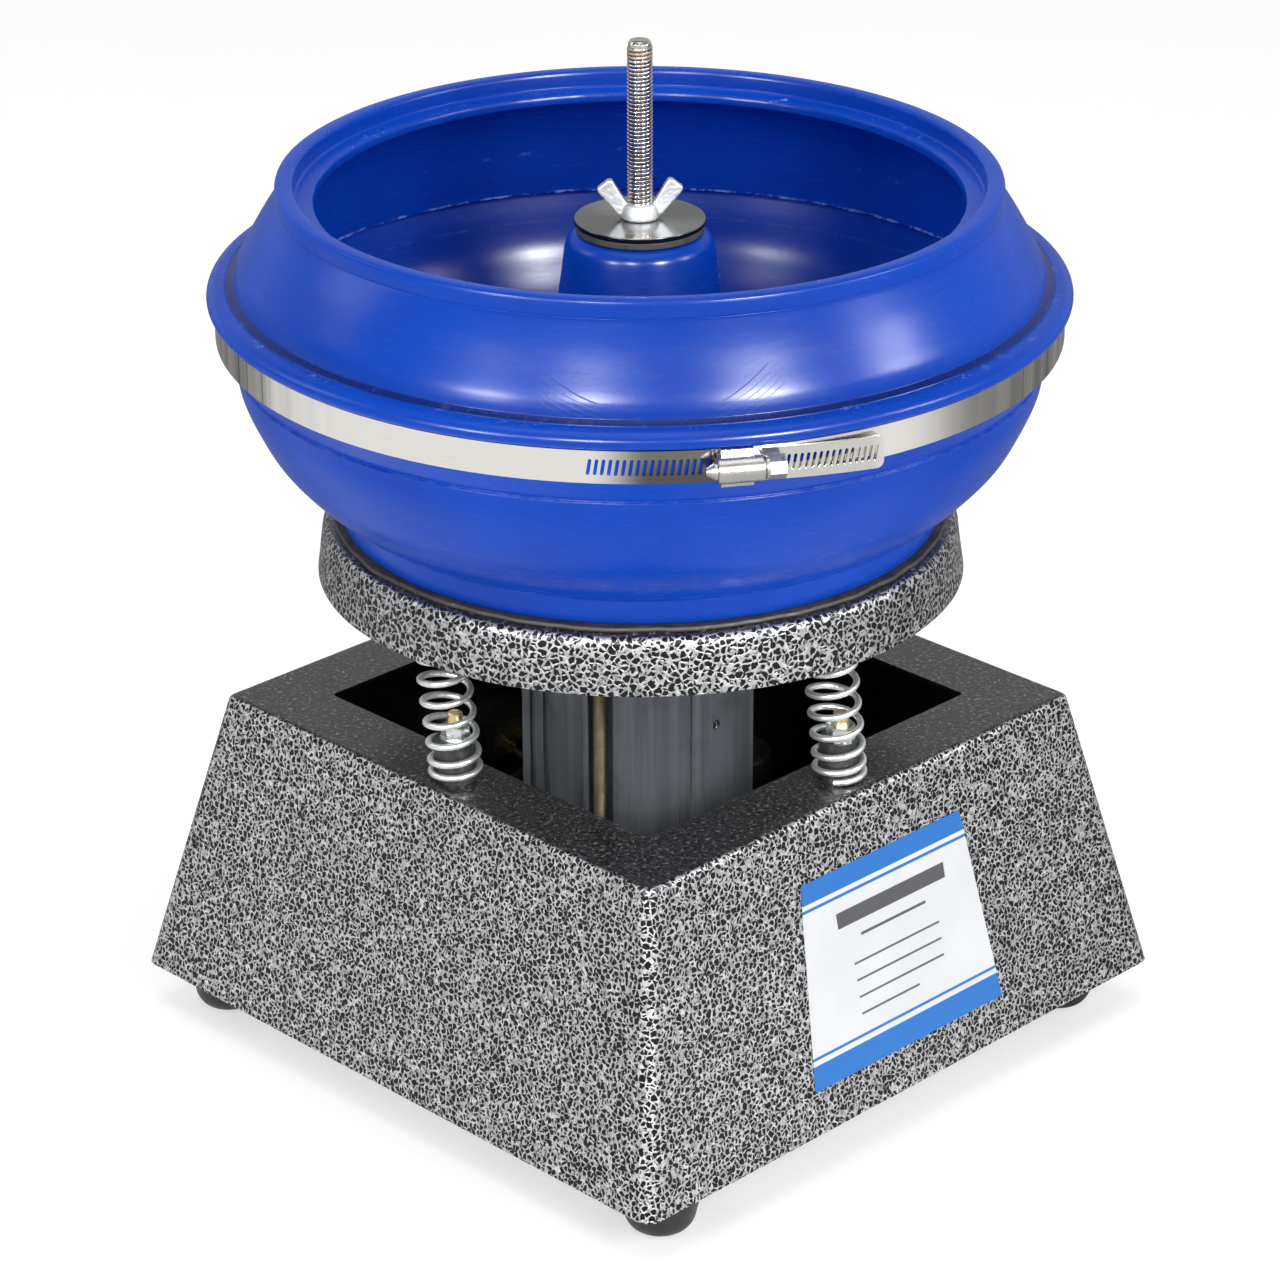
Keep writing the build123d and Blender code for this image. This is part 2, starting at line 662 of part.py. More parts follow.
@part
def cooling_fan():
    fan = tube(SHAFT_BORE_R, 11.0, 66.5, 78.0) + tube(10.9, 37.0, 66.5, 68.3)
    for k in range(7):
        blade = Pos(23.5, 0, 71.5) * Rot(0, 0, 18) * Box(24.0, 1.6, 7.0)
        fan += Rot(0, 0, 360 / 7 * k) * blade
    return fan


WEIGHT_Z0, WEIGHT_Z1 = 48.0, 64.0
WEIGHT_R = 38.0
WEIGHT_MID = (WEIGHT_Z0 + WEIGHT_Z1) / 2


@part
def eccentric_weight():
    """Half disc towards the front, on a round hub."""
    half_space = Pos(0, -WEIGHT_R / 2, WEIGHT_MID) * Box(90, WEIGHT_R, 20)
    weight = cyl(WEIGHT_R, WEIGHT_Z0, WEIGHT_Z1) & half_space
    weight += cyl(13.0, WEIGHT_Z0, WEIGHT_Z1)
    weight -= cyl(SHAFT_BORE_R, 40, 70)
    weight = fillet(two_widest_rims(weight), 1.0)
    weight -= Pos(0, 10, WEIGHT_MID) * Rot(90, 0, 0) * Cylinder(3.0, 9.0)
    return weight


@part
def eccentric_set_screw():
    socket = Pos(0, 0, -3.4) * extrude(RegularPolygon(1.5, 6), 3.0, both=True)
    return Pos(0, 9.9, WEIGHT_MID) * Rot(90, 0, 0) * (Cylinder(2.95, 7.6) - socket)


# ---------------------------------------------------------------- bowl
def post_point(z):
    """Point on the tapered outside of the post."""
    return 31.5 + (323.0 - z) * 0.130, z


@part
def lower_bowl():
    return revolve_runs(
        (114.0, BOWL_FOOT_Z),
        # outside, from the foot up to the rim
        ("line", [(119.6, BOWL_FOOT_Z), (120.1, BOWL_FOOT_Z + 0.5), (121.8, 238.4),
                  (121.6, 239.2), (124.2, 239.9)]),
        ("curve", [(129.6, 243.9), (136.7, 250.0), (147.3, 262.0), (154.3, 275.0),
                   (158.2, 285.0), (159.6, 294.2)]),
        ("line", [(158.7, 294.7), (159.2, 295.6), (165.6, 303.9), (RIM_R, 304.9),
                  (RIM_R, RIM_Z), (RIM_IN, RIM_Z), (RIM_IN, 305.2)]),
        # inside, down to the floor and up the post
        ("curve", [(156.6, 298.0), (153.9, 285.0), (149.6, 275.0), (142.4, 262.0),
                   (131.6, 250.0), (120.8, 242.2), (108.0, 238.0), (98.0, 237.2)]),
        ("line", [(48.0, 237.2)]),
        ("curve", [(44.4, 238.3), (42.3, 241.5), post_point(246.0)]),
        ("line", [post_point(336.4)]),
        ("curve", [(28.6, 340.2), (25.8, 342.8), (22.0, POST_TOP)]),
        # hollow of the post and underside
        ("line", [(5.8, POST_TOP), (5.8, 339.2), (20.5, 339.2), (25.4, 335.5), (37.6, 241.0),
                  (40.5, 233.2), (104.0, 233.2), (112.5, 232.6), (114.0, BOWL_FOOT_Z)]),
    )


@part
def post_gasket():
    ring = tube(6.2, 25.3, POST_TOP + 0.04, POST_TOP + 2.8)
    return fillet(two_widest_rims(ring), 0.5)


@part
def steel_washer():
    ring = tube(5.4, 25.8, POST_TOP + 2.85, POST_TOP + 4.95)
    return fillet(two_widest_rims(ring), 0.35)


@part
def bowl_collar():
    spigot_r, seat = RIM_IN - 0.15, RIM_Z + 0.05
    top, lip_r, lip_in, ledge_r = 366.0, 142.0, 134.8, 127.0
    return revolve_runs(
        (152.6, 307.6),
        ("line", [(spigot_r, 307.6), (spigot_r, seat), (167.6, seat)]),
        ("curve", [(169.3, 319.5), (170.0, 321.3), (169.2, 323.4), (166.8, 325.0),
                   (163.0, 325.6)]),
        ("line", [(162.5, 325.3), (162.2, 325.9), (160.3, 326.4), (159.3, 327.0)]),
        ("curve", [(158.4, 330.5), (156.9, 334.3), (153.1, 341.1), (148.0, 349.8),
                   (143.0, 357.3), (141.7, 359.0)]),
        ("line", [(lip_r, 359.6), (lip_r, 364.6)]),
        ("curve", [(141.6, 365.6), (140.6, top)]),
        ("line", [(136.2, top)]),
        ("curve", [(135.2, 365.6), (lip_in, 364.6)]),
        ("line", [(lip_in, 359.6), (134.0, 358.8), (128.4, 358.8)]),
        ("curve", [(127.4, 358.4), (ledge_r, 357.4)]),
        ("line", [(ledge_r, 355.2), (127.8, 354.4), (137.6, 354.4)]),
        ("curve", [(140.4, 352.6), (146.2, 344.0), (150.6, 335.6), (152.6, 326.0)]),
        ("line", [(152.6, 307.6)]),
    )


# ---------------------------------------------------------------- clamp band and worm
BAND_Z0, BAND_W, BAND_T = 305.2, 12.7, 0.8
BAND_IN = RIM_R + 0.1
BAND_OUT = BAND_IN + BAND_T
BAND_MID = BAND_Z0 + BAND_W / 2
CLAMP_ANGLE = -122.87         # worm housing, seen from above
SLOT_PITCH, SLOT_L, SLOT_W, SLOT_TILT = 2.54, 6.3, 1.3, -9
TAIL_R, TAIL_L, TAIL_DROOP = 215.0, 57.5, 2.6    # bend radius, length, degrees
WORM_Z = 5.3                  # worm axis above the band


def band_plane(angle, z=BAND_MID):
    """Plane on the band: x anticlockwise along it, y up, z outward."""
    x, y = polar(1, angle)
    return Plane(origin=(BAND_OUT * x, BAND_OUT * y, z), x_dir=(-y, x, 0), z_dir=(x, y, 0))


CLAMP = band_plane(CLAMP_ANGLE)


def slot_cutter(plane):
    slot = extrude(SlotOverall(SLOT_L, SLOT_W, rotation=90), 3, both=True)
    return plane * Rot(0, 0, SLOT_TILT) * slot


def band_tail():
    """Free end of the band: springs away from the loop and droops a little."""
    sweep_deg = math.degrees(TAIL_L / TAIL_R)
    inner = TAIL_R + 0.05
    tail = extrude(Circle(inner + BAND_T) - Circle(inner), BAND_W)
    wedge = [(0, 0), polar(400, 90 - sweep_deg), (60, 400), (10.0, 400), (9.0, 215)]
    tail = tail & extrude(polygon(wedge), BAND_W)
    tail = Rot(90, 0, 0) * (Pos(0, -TAIL_R, -BAND_W / 2) * tail)
    corners = tail.edges().filter_by(lambda e: e.length < 1.2 and e.center().X > TAIL_L - 6)
    tail = fillet(corners, 2.6)
    for i in range(16):
        angle = (16.4 + SLOT_PITCH * i * 0.985) / TAIL_R
        along, out = math.sin(angle), math.cos(angle)
        tail -= slot_cutter(Plane(origin=(TAIL_R * along, 0, TAIL_R * out - TAIL_R),
                                  x_dir=(out, 0, -along), z_dir=(along, 0, out)))
    return CLAMP * (Rot(0, 0, -TAIL_DROOP) * tail)


@part
def clamp_band():
    band = tube(BAND_IN, BAND_OUT, BAND_Z0, BAND_Z0 + BAND_W)
    pitch_deg = math.degrees(SLOT_PITCH / BAND_OUT)
    for i in range(18):
        band -= slot_cutter(band_plane(CLAMP_ANGLE - 3.68 - pitch_deg * i))
    # the strap that runs on behind the free tail is slotted too
    for i in range(14):
        angle = CLAMP_ANGLE + math.degrees((12.2 + SLOT_PITCH * i) / BAND_OUT)
        band -= slot_cutter(band_plane(angle, BAND_MID + 1.3))
    bridge = CLAMP * (Pos(9.6, -0.35, 0.12) * Box(2.4, 11.0, 0.9))
    return band + band_tail() + bridge


@part
def clamp_housing():
    barrel = Pos(0, 0, WORM_Z) * Rot(0, 90, 0) * Cylinder(4.85, 17.6)
    barrel = fillet(barrel.edges().filter_by(GeomType.CIRCLE), 0.9)
    saddle = Pos(-0.3, -0.55, 1.35) * Box(12.2, 14.9, 2.3)
    saddle = fillet(saddle.edges().filter_by(Axis.X), 0.8)
    housing = barrel + saddle + Pos(0, 0, 2.7) * Box(15.6, 9.7, 5.0)
    housing -= Pos(0, 0, WORM_Z) * Rot(0, 90, 0) * Cylinder(3.65, 40)
    housing = (CLAMP * housing) - cyl(BAND_OUT + 0.35, BAND_Z0 - 8, BAND_Z0 + BAND_W + 8)
    housing -= CLAMP * (Pos(12.0, -0.35, 0.4) * Box(8.5, 15, 2.6))
    return housing


@part
def clamp_worm_screw():
    worm = Pos(0.2, 0, 0) * Rot(0, 90, 0) * Cylinder(3.45, 20.0)
    worm += Pos(9.85, 0, 0) * Rot(0, 90, 0) * Cylinder(4.2, 1.3)
    head = extrude(RegularPolygon(3.95, 6, major_radius=False), 3.2, both=True)
    worm += Pos(13.4, 0, 0) * Rot(0, 90, 0) * Rot(0, 0, 15) * head
    worm += Pos(-11.2, 0, 0) * Rot(0, -90, 0) * Cone(3.3, 1.2, 3.2)
    worm -= Pos(16.4, 0, 0) * Rot(25, 0, 0) * Box(3.2, 12, 1.3)
    return CLAMP * (Pos(0, 0, WORM_Z) * worm)


# ---------------------------------------------------------------- wing nut
@part
def wing_nut():
    bore_r, seat, turn = 5.06, POST_TOP + 5.0, -41.37
    nut = revolve_outline([
        (bore_r, seat), (7.3, seat), (7.7, seat + 0.8), (7.5, seat + 2.4), (6.6, seat + 4.9),
        (5.9, seat + 6.0), (bore_r, seat + 6.2)])
    # side view of one wing: x, z
    outline = [
        (-16.6, 359.6), (-16.7, 361.0), (-12.6, 364.3), (-11.0, 364.3), (-10.2, 363.0),
        (-7.4, 358.2), (-5.6, 355.0), (-5.2, 354.4), (-5.2, 349.4), (-7.4, 349.5),
        (-8.8, 350.4), (-12.4, 354.9)]
    for side in (0, 180):
        wing = extrude(Plane.XZ * polygon(outline), 1.75, both=True)
        faces = wing.edges().group_by(Axis.Y)
        nut = nut + Rot(0, 0, side) * chamfer(faces[0] + faces[-1], 0.4)
    return Rot(0, 0, turn) * (nut - cyl(bore_r, 300, 400))


# ---------------------------------------------------------------- write
os.makedirs("parts", exist_ok=True)
for build in PARTS:
    solids = build().solids()
    shape = solids[0] if len(solids) == 1 else Compound(children=list(solids))
    export_step(shape, f"parts/{build.__name__}.step")
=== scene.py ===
"""A vibratory tumbler: a blue bowl and collar held by a stud and wing nut to a tray, which
stands on four springs over a motor base.

Metres, +Z up. The bowl's axis is the Z axis and the floor is z = 0. The camera looks from
-X -Y and above, so "left" and "right" in the lights are as the camera sees them. Shapes are
given in millimetres and scaled by MM; materials and lights are in metres.
"""
import bpy
import bmesh
import math
import random
from mathutils import Vector, Matrix, noise


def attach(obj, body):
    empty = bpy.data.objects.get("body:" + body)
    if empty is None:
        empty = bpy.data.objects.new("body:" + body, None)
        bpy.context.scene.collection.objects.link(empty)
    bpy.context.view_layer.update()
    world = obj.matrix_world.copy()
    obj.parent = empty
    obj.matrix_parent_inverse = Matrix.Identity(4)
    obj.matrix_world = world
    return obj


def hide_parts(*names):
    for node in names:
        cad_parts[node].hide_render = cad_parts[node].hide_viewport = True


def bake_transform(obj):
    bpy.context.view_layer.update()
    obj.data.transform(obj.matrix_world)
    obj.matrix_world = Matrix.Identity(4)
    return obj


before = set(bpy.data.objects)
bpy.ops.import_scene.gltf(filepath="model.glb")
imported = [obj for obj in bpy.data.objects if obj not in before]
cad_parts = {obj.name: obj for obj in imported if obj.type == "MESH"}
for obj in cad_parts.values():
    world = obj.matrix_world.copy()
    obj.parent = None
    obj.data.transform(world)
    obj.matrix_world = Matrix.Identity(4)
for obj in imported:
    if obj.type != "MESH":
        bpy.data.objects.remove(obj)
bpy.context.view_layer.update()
random.seed(7)
noise.seed_set(7)

MM = 0.001
BASE_X, BASE_Y = 2.0, -2.0      # base centre relative to the bowl axis, mm
CORNER_TURN = 22                # degrees; profile corners turning less stay as they are
CURVE_STEPS = 6                 # points per span of a smooth run


# ------------------------------------------------------------------ profiles
def catmull(points):
    """A Catmull-Rom curve through the points, with each end span mirrored outwards."""
    def mirrored(end, inner):
        return tuple(2 * a - b for a, b in zip(end, inner))

    padded = [mirrored(points[0], points[1]), *points, mirrored(points[-1], points[-2])]
    curve = []
    for span in zip(padded, padded[1:], padded[2:], padded[3:]):
        for j in range(CURVE_STEPS):
            t = j / CURVE_STEPS
            curve.append(tuple(
                0.5 * (2 * b + (c - a) * t + (2 * a - 5 * b + 4 * c - d) * t * t
                       + (3 * b - a - 3 * c + d) * t ** 3)
                for a, b, c, d in zip(*span)))
    curve.append(points[-1])
    return curve


def trace(runs):
    """One outline from runs of ("line" or "curve", points), without repeated points."""
    outline = []
    for kind, points in runs:
        for point in catmull(points) if kind == "curve" else points:
            if not outline or math.dist(point, outline[-1]) > 1e-4:
                outline.append(point)
    return outline


def soften(outline, radius):
    """Rounds the sharp corners of a closed outline."""
    result = []
    for i, point in enumerate(outline):
        corner = Vector(point)
        back = Vector(outline[i - 1]) - corner
        ahead = Vector(outline[(i + 1) % len(outline)]) - corner
        if back.length < 1e-6 or ahead.length < 1e-6:
            continue
        turn = 180 - math.degrees(back.angle(ahead))
        if turn < CORNER_TURN:
            result.append(point)
            continue
        cut = min(radius * math.tan(math.radians(turn) / 2),
                  0.42 * back.length, 0.42 * ahead.length)
        start = corner + back / back.length * cut
        end = corner + ahead / ahead.length * cut
        for t in (0, 0.25, 0.5, 0.75, 1):
            result.append(tuple((1 - t) ** 2 * start + 2 * t * (1 - t) * corner + t * t * end))
    return result


def refine(outline, step):
    """Splits the long sides of a closed outline into pieces near the step length."""
    result = []
    for a, b in zip(outline, outline[1:] + outline[:1]):
        pieces = max(1, int(math.dist(a, b) / step))
        for j in range(pieces):
            result.append(tuple(p + (q - p) * j / pieces for p, q in zip(a, b)))
    return result


def hermite(table, x):
    """Smooth interpolation in a table of (x, value)."""
    slopes = [(b[1] - a[1]) / (b[0] - a[0]) for a, b in zip(table, table[1:])]
    inner = [(a + b) / 2 for a, b in zip(slopes, slopes[1:])]
    tangents = [slopes[0]] + inner + [slopes[-1]]
    i = 0
    while i < len(table) - 2 and x > table[i + 1][0]:
        i += 1
    width = table[i + 1][0] - table[i][0]
    t = (x - table[i][0]) / width
    return ((2 * t**3 - 3 * t**2 + 1) * table[i][1]
            + (t**3 - 2 * t**2 + t) * width * tangents[i]
            + (-2 * t**3 + 3 * t**2) * table[i + 1][1]
            + (t**3 - t**2) * width * tangents[i + 1])


def ripple(angle, z, height, waves, shift=0.0):
    """A small smooth irregularity around a ring; more waves make it finer."""
    return height * noise.noise(Vector((math.cos(angle) * waves + shift,
                                        math.sin(angle) * waves - shift, z * 0.05)))


# ------------------------------------------------------------------ meshes
def finish_mesh(bm, name, mat, sharp=None):
    """Makes a smooth-shaded object; edges above sharp degrees stay crisp."""
    bmesh.ops.recalc_face_normals(bm, faces=bm.faces)
    mesh = bpy.data.meshes.new(name)
    if sharp:
        for edge in bm.edges:
            if len(edge.link_faces) == 2 and edge.calc_face_angle(0) > math.radians(sharp):
                edge.smooth = False
    for face in bm.faces:
        face.smooth = True
    bm.to_mesh(mesh)
    bm.free()
    ob = bpy.data.objects.new(name, mesh)
    bpy.context.scene.collection.objects.link(ob)
    mesh.materials.append(mat)
    return ob


def polar(r, angle, z):
    """A place in metres from cylindrical millimetres."""
    return (r * math.cos(angle) * MM, r * math.sin(angle) * MM, z * MM)


def bridge(bm, low, high):
    """Faces between two rings; a ring of one vertex is a point on the axis."""
    count = max(len(low), len(high))
    for j in range(count):
        k = (j + 1) % count
        if len(low) == 1:
            bm.faces.new((low[0], high[k], high[j]))
        elif len(high) == 1:
            bm.faces.new((low[j], low[k], high[0]))
        else:
            bm.faces.new((low[j], low[k], high[k], high[j]))


def capped(bm, rings):
    """Joins the rings in turn and closes both ends."""
    for low, high in zip(rings, rings[1:]):
        bridge(bm, low, high)
    bm.faces.new(list(reversed(rings[0])))
    bm.faces.new(rings[-1])


def lathe(name, outline, segments, mat, warp=None):
    """Revolves a closed outline of (r, z) about Z; warp(r, z, angle) may shift each point."""
    bm = bmesh.new()
    rings = []
    for r, z in outline:
        if r < 1e-5:
            rings.append([bm.verts.new((0, 0, z * MM))])
            continue
        ring = []
        for j in range(segments):
            angle = 2 * math.pi * j / segments
            ring_r, ring_z = warp(r, z, angle) if warp else (r, z)
            ring.append(bm.verts.new(polar(ring_r, angle, ring_z)))
        rings.append(ring)
    for low, high in zip(rings, rings[1:] + rings[:1]):
        if len(low) > 1 or len(high) > 1:
            bridge(bm, low, high)
    return finish_mesh(bm, name, mat)


def wire(name, points, radius, segments, mat):
    """A round wire along points in mm."""
    path = [Vector(p) * MM for p in points]
    bm = bmesh.new()
    rings = []
    previous = (path[1] - path[0]).normalized()
    side = previous.orthogonal().normalized()
    for i, centre in enumerate(path):
        along = (path[min(i + 1, len(path) - 1)] - path[max(i - 1, 0)]).normalized()
        axis = previous.cross(along)
        if axis.length > 1e-9:
            side = Matrix.Rotation(previous.angle(along), 3, axis.normalized()) @ side
        side = (side - side.dot(along) * along).normalized()
        across = along.cross(side)
        previous = along
        ring = []
        for j in range(segments):
            angle = 2 * math.pi * j / segments
            offset = side * math.cos(angle) + across * math.sin(angle)
            ring.append(bm.verts.new(centre + offset * (radius * MM)))
        rings.append(ring)
    capped(bm, rings)
    return finish_mesh(bm, name, mat, sharp=50)


def join(name, objects):
    bpy.ops.object.select_all(action="DESELECT")
    for ob in objects:
        ob.select_set(True)
    bpy.context.view_layer.objects.active = objects[0]
    bpy.ops.object.join()
    joined = bpy.context.view_layer.objects.active
    joined.name = name
    joined.data.name = name
    return joined


def put(ob, body, node):
    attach(ob, body)
    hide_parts(node)


# ------------------------------------------------------------------ shader graphs
class Signal:
    """A shader output; arithmetic on it adds Math nodes."""
    def __init__(self, graph, socket):
        self.graph = graph
        self.socket = socket

    def __add__(self, other):
        return self.graph.math("ADD", self, other)

    def __radd__(self, other):
        return self.graph.math("ADD", other, self)

    def __sub__(self, other):
        return self.graph.math("SUBTRACT", self, other)

    def __rsub__(self, other):
        return self.graph.math("SUBTRACT", other, self)

    def __mul__(self, other):
        return self.graph.math("MULTIPLY", self, other)

    def __truediv__(self, other):
        return self.graph.math("DIVIDE", self, other)

    def __abs__(self):
        return self.graph.math("ABSOLUTE", self)

    def remap(self, gain, base):
        return self.graph.math("MULTIPLY_ADD", self, gain, base)

    def step(self, zero, one):
        """0 at zero and 1 at one, smooth between; either may be the larger."""
        rising = zero < one
        inputs = {"From Min": min(zero, one), "From Max": max(zero, one),
                  "To Min": 0.0 if rising else 1.0, "To Max": 1.0 if rising else 0.0,
                  "Value": self}
        node = self.graph.node("ShaderNodeMapRange", inputs, interpolation_type="SMOOTHSTEP")
        return Signal(self.graph, node.outputs["Result"])

    def between(self, rise, fall):
        """Goes from 0 to 1 across rise and back to 0 across fall."""
        return self.step(*rise) * self.step(zero=fall[1], one=fall[0])

    def ramp(self, *stops):
        """Colour ramp through stops of (position, grey or colour)."""
        node = self.graph.node("ShaderNodeValToRGB", {0: self})
        elements = node.color_ramp.elements
        while len(elements) < len(stops):
            elements.new(0.5)
        for element, (position, tint) in zip(elements, stops):
            element.position = position
            element.color = (tint, tint, tint, 1) if isinstance(tint, float) else (*tint, 1)
        return Signal(self.graph, node.outputs[0])


class Graph:
    """Adds nodes to a shader tree; inputs may be plain values or Signals."""
    def __init__(self, tree, space):
        self.tree = tree
        self.coords = Signal(self, self.node("ShaderNodeTexCoord").outputs[space])

    def feed(self, socket, value):
        if isinstance(value, Signal):
            self.tree.links.new(value.socket, socket)
        else:
            socket.default_value = value

    def node(self, kind, inputs={}, **settings):
        node = self.tree.nodes.new(kind)
        for name, value in settings.items():
            setattr(node, name, value)
        for key, value in inputs.items():
            self.feed(node.inputs[key], value)
        return node

    def signal(self, kind, inputs={}, output=0, **settings):
        return Signal(self, self.node(kind, inputs, **settings).outputs[output])

    def noise(self, scale, detail=2.0, rough=0.5, vector=None, output=0):
        inputs = {"Scale": scale, "Detail": detail, "Roughness": rough,
                  "Vector": vector or self.coords}
        return self.signal("ShaderNodeTexNoise", inputs, output)

    def voronoi(self, scale, feature="F1", vector=None):
        inputs = {"Scale": scale, "Vector": vector or self.coords}
        return self.signal("ShaderNodeTexVoronoi", inputs, feature=feature)

    def math(self, operation, a, b=0.0, c=0.0, clamp=False):
        return self.signal("ShaderNodeMath", {0: a, 1: b, 2: c},
                           operation=operation, use_clamp=clamp)

    def mix(self, under, over, amount):
        """The under colour with the over colour laid on it by amount."""
        inputs = {0: amount}
        for key, tint in ((6, under), (7, over)):
            inputs[key] = tint if isinstance(tint, Signal) else (*tint, 1)
        return self.signal("ShaderNodeMix", inputs, output=2, data_type="RGBA")

    def scaled(self, *scale):
        """Object coordinates scaled per axis, to stretch a texture."""
        return self.signal("ShaderNodeMapping", {"Scale": scale, "Vector": self.coords})

    def xyz(self, vector=None):
        node = self.node("ShaderNodeSeparateXYZ", {0: vector or self.coords})
        return [Signal(self, socket) for socket in node.outputs]

    def length_xy(self, x, y):
        return self.math("SQRT", x * x + y * y)

    def radius(self):
        x, y, _ = self.xyz()
        return self.length_xy(x, y)

    def wrapped(self, angle):
        """The angle brought into -pi to pi."""
        return self.math("WRAP", angle, math.pi, -math.pi)

    def edge_wear(self, size, zero, one):
        """1 on edges: how far a rounded-edge normal departs from the true one."""
        bevel = self.signal("ShaderNodeBevel", {"Radius": size}, samples=4)
        normal = self.signal("ShaderNodeNewGeometry", output="Normal")
        match = self.signal("ShaderNodeVectorMath", {0: bevel, 1: normal},
                            output="Value", operation="DOT_PRODUCT")
        return (1.0 - match).step(zero, one)


class Material(Graph):
    def __init__(self, name):
        self.name = name
        self.material = bpy.data.materials.new(name)
        self.material.use_nodes = True
        tree = self.material.node_tree
        tree.nodes.clear()
        self.surface = tree.nodes.new("ShaderNodeOutputMaterial").inputs[0]
        self.shader = tree.nodes.new("ShaderNodeBsdfPrincipled")
        tree.links.new(self.shader.outputs[0], self.surface)
        super().__init__(tree, "Object")

    def set(self, **inputs):
        for name, value in inputs.items():
            self.feed(self.shader.inputs[name.replace("_", " ")], value)

    def bump(self, height, strength, depth=0.0001):
        inputs = {"Strength": strength, "Distance": depth, "Height": height}
        self.set(Normal=self.signal("ShaderNodeBump", inputs))


def shade(colour, factor):
    return tuple(min(1.0, c * factor) for c in colour)


# ------------------------------------------------------------------ materials
def hammered(name, light, dark, cells, glint=0.0, inside=False):
    """Hammertone enamel: a silver net around charcoal cells, raised a little along the net.

    light and dark are the greys of net and cells; cells is their frequency. With inside, the
    faces towards the base centre and the undersides high in the housing are painted near-black as
    painted shade.
    """
    m = Material(name)
    drift = m.noise(scale=300.0, rough=0.55, output=1)
    warped = m.signal("ShaderNodeVectorMath", {0: drift, 1: (0.0020,) * 3, 2: m.coords},
                      operation="MULTIPLY_ADD")
    edge = m.voronoi(cells, feature="DISTANCE_TO_EDGE", vector=warped)
    edge = edge + m.noise(scale=560.0).remap(gain=0.60, base=-0.30)
    net = edge.step(zero=0.155, one=0.065)
    geometry = m.node("ShaderNodeNewGeometry")
    normal_z = m.xyz(Signal(m, geometry.outputs["Normal"]))[2]
    flat = normal_z.step(zero=0.80, one=0.97)

    tone = m.noise(scale=420.0, rough=0.6)
    silver = tone.ramp((0.34, light * 0.62), (0.52, light), (0.70, light * 1.5))
    # painted shade: up-facing faces swap the silver net for a separate grey ramp that stands in
    # for how light falls on the flange
    level = m.noise(scale=520.0, rough=0.6).ramp((0.44, 0.040), (0.58, 0.12), (0.72, 0.50))
    silver = m.mix(silver, level, amount=flat)
    charcoal = m.noise(scale=900.0).ramp(
        (0.32, (dark * 0.75, dark * 0.75, dark * 0.85)),
        (0.68, (dark * 1.7, dark * 1.7, dark * 1.9)))
    col = m.mix(charcoal, silver, amount=net)
    broad = m.noise(scale=14.0).step(zero=0.40, one=0.62)
    col = m.mix(col, over=(0.05, 0.05, 0.055), amount=broad * 0.06)
    wear = m.edge_wear(size=0.0010, zero=0.03, one=0.2)
    col = m.mix(col, over=(0.40, 0.40, 0.42), amount=wear * 0.12)
    # painted shade: near-black on the faces towards the base centre and on the undersides high in
    # the housing
    if inside:
        x, y, z = m.xyz()
        nx, ny, nz = m.xyz(Signal(m, geometry.outputs["True Normal"]))
        outward = nx * (x - BASE_X * MM) + ny * (y - BASE_Y * MM)
        underside = nz.step(zero=-0.5, one=-0.8) * z.step(zero=0.10, one=0.12)
        inner = m.math("MAXIMUM", outward.step(zero=-0.02, one=-0.04), underside)
        col = m.mix(col, over=(0.006, 0.006, 0.007), amount=inner)
    m.set(Base_Color=col,
          Metallic=net * (0.45 + glint) * wear.remap(gain=-0.85, base=1.0),
          Roughness=net.ramp((0.0, 0.30), (1.0, 0.40)),
          Coat_Weight=flat.remap(gain=0.34, base=0.06), Coat_Roughness=0.15,
          Specular_IOR_Level=flat * 0.4 + net.remap(gain=0.25, base=0.20))
    m.bump(net + m.noise(scale=240.0) * 0.9, strength=0.50, depth=0.00018)
    return m


# Fans of curved lines on the collar's cone, on the camera side:
# centre along the wall, centre z, first radius, start and end along the wall
FLOW_FANS = ((0.0091, 0.4117, 0.083, -0.038, -0.012),
             (-0.0258, 0.4511, 0.131, 0.026, 0.057))
FLOW_GAP = 0.0021               # between neighbouring lines
FLOW_WALL_R = 0.157             # radius at which the wall is measured along


def flow_lines(m, x, y, z):
    angle = m.wrapped(m.math("ARCTAN2", y, x) + math.radians(135))
    arc = angle * FLOW_WALL_R
    fans = None
    for centre, centre_z, first_r, start, end in FLOW_FANS:
        distance = m.length_xy(arc - centre, z - centre_z) - first_r
        index = distance / FLOW_GAP
        off_line = abs(index - m.math("ROUND", index))
        lines = (off_line.step(zero=0.13, one=0.04)
                 * index.between(rise=(-0.4, -0.2), fall=(4.3, 4.5)))
        # the first line is the strongest
        lines = lines * index.step(zero=0.6, one=0.3).remap(gain=0.55, base=0.45)
        lines = lines * arc.between(rise=(start, start + 0.004), fall=(end - 0.004, end))
        lines = lines * z.step(zero=0.3450, one=0.3425)
        fans = fans + lines if fans else lines
    return fans


def collar_flash(m, z, r, ragged):
    """Pale ragged marks on the lower edge, the step below the lip and the cone's foot."""
    lower = (abs(z - 0.30795).step(zero=0.0011, one=0.0003)
             * ragged.step(zero=0.46, one=0.60))
    ledge = (abs(z - 0.3588).step(zero=0.0009, one=0.0003)
             * (ragged.step(zero=0.62, one=0.70) * r.step(zero=0.1345, one=0.1335)))
    foot = (abs(z - 0.3261).step(zero=0.0012, one=0.0004)
            * ragged.step(zero=0.58, one=0.68))
    return m.math("ADD", lower + ledge, foot * 0.35, clamp=True)


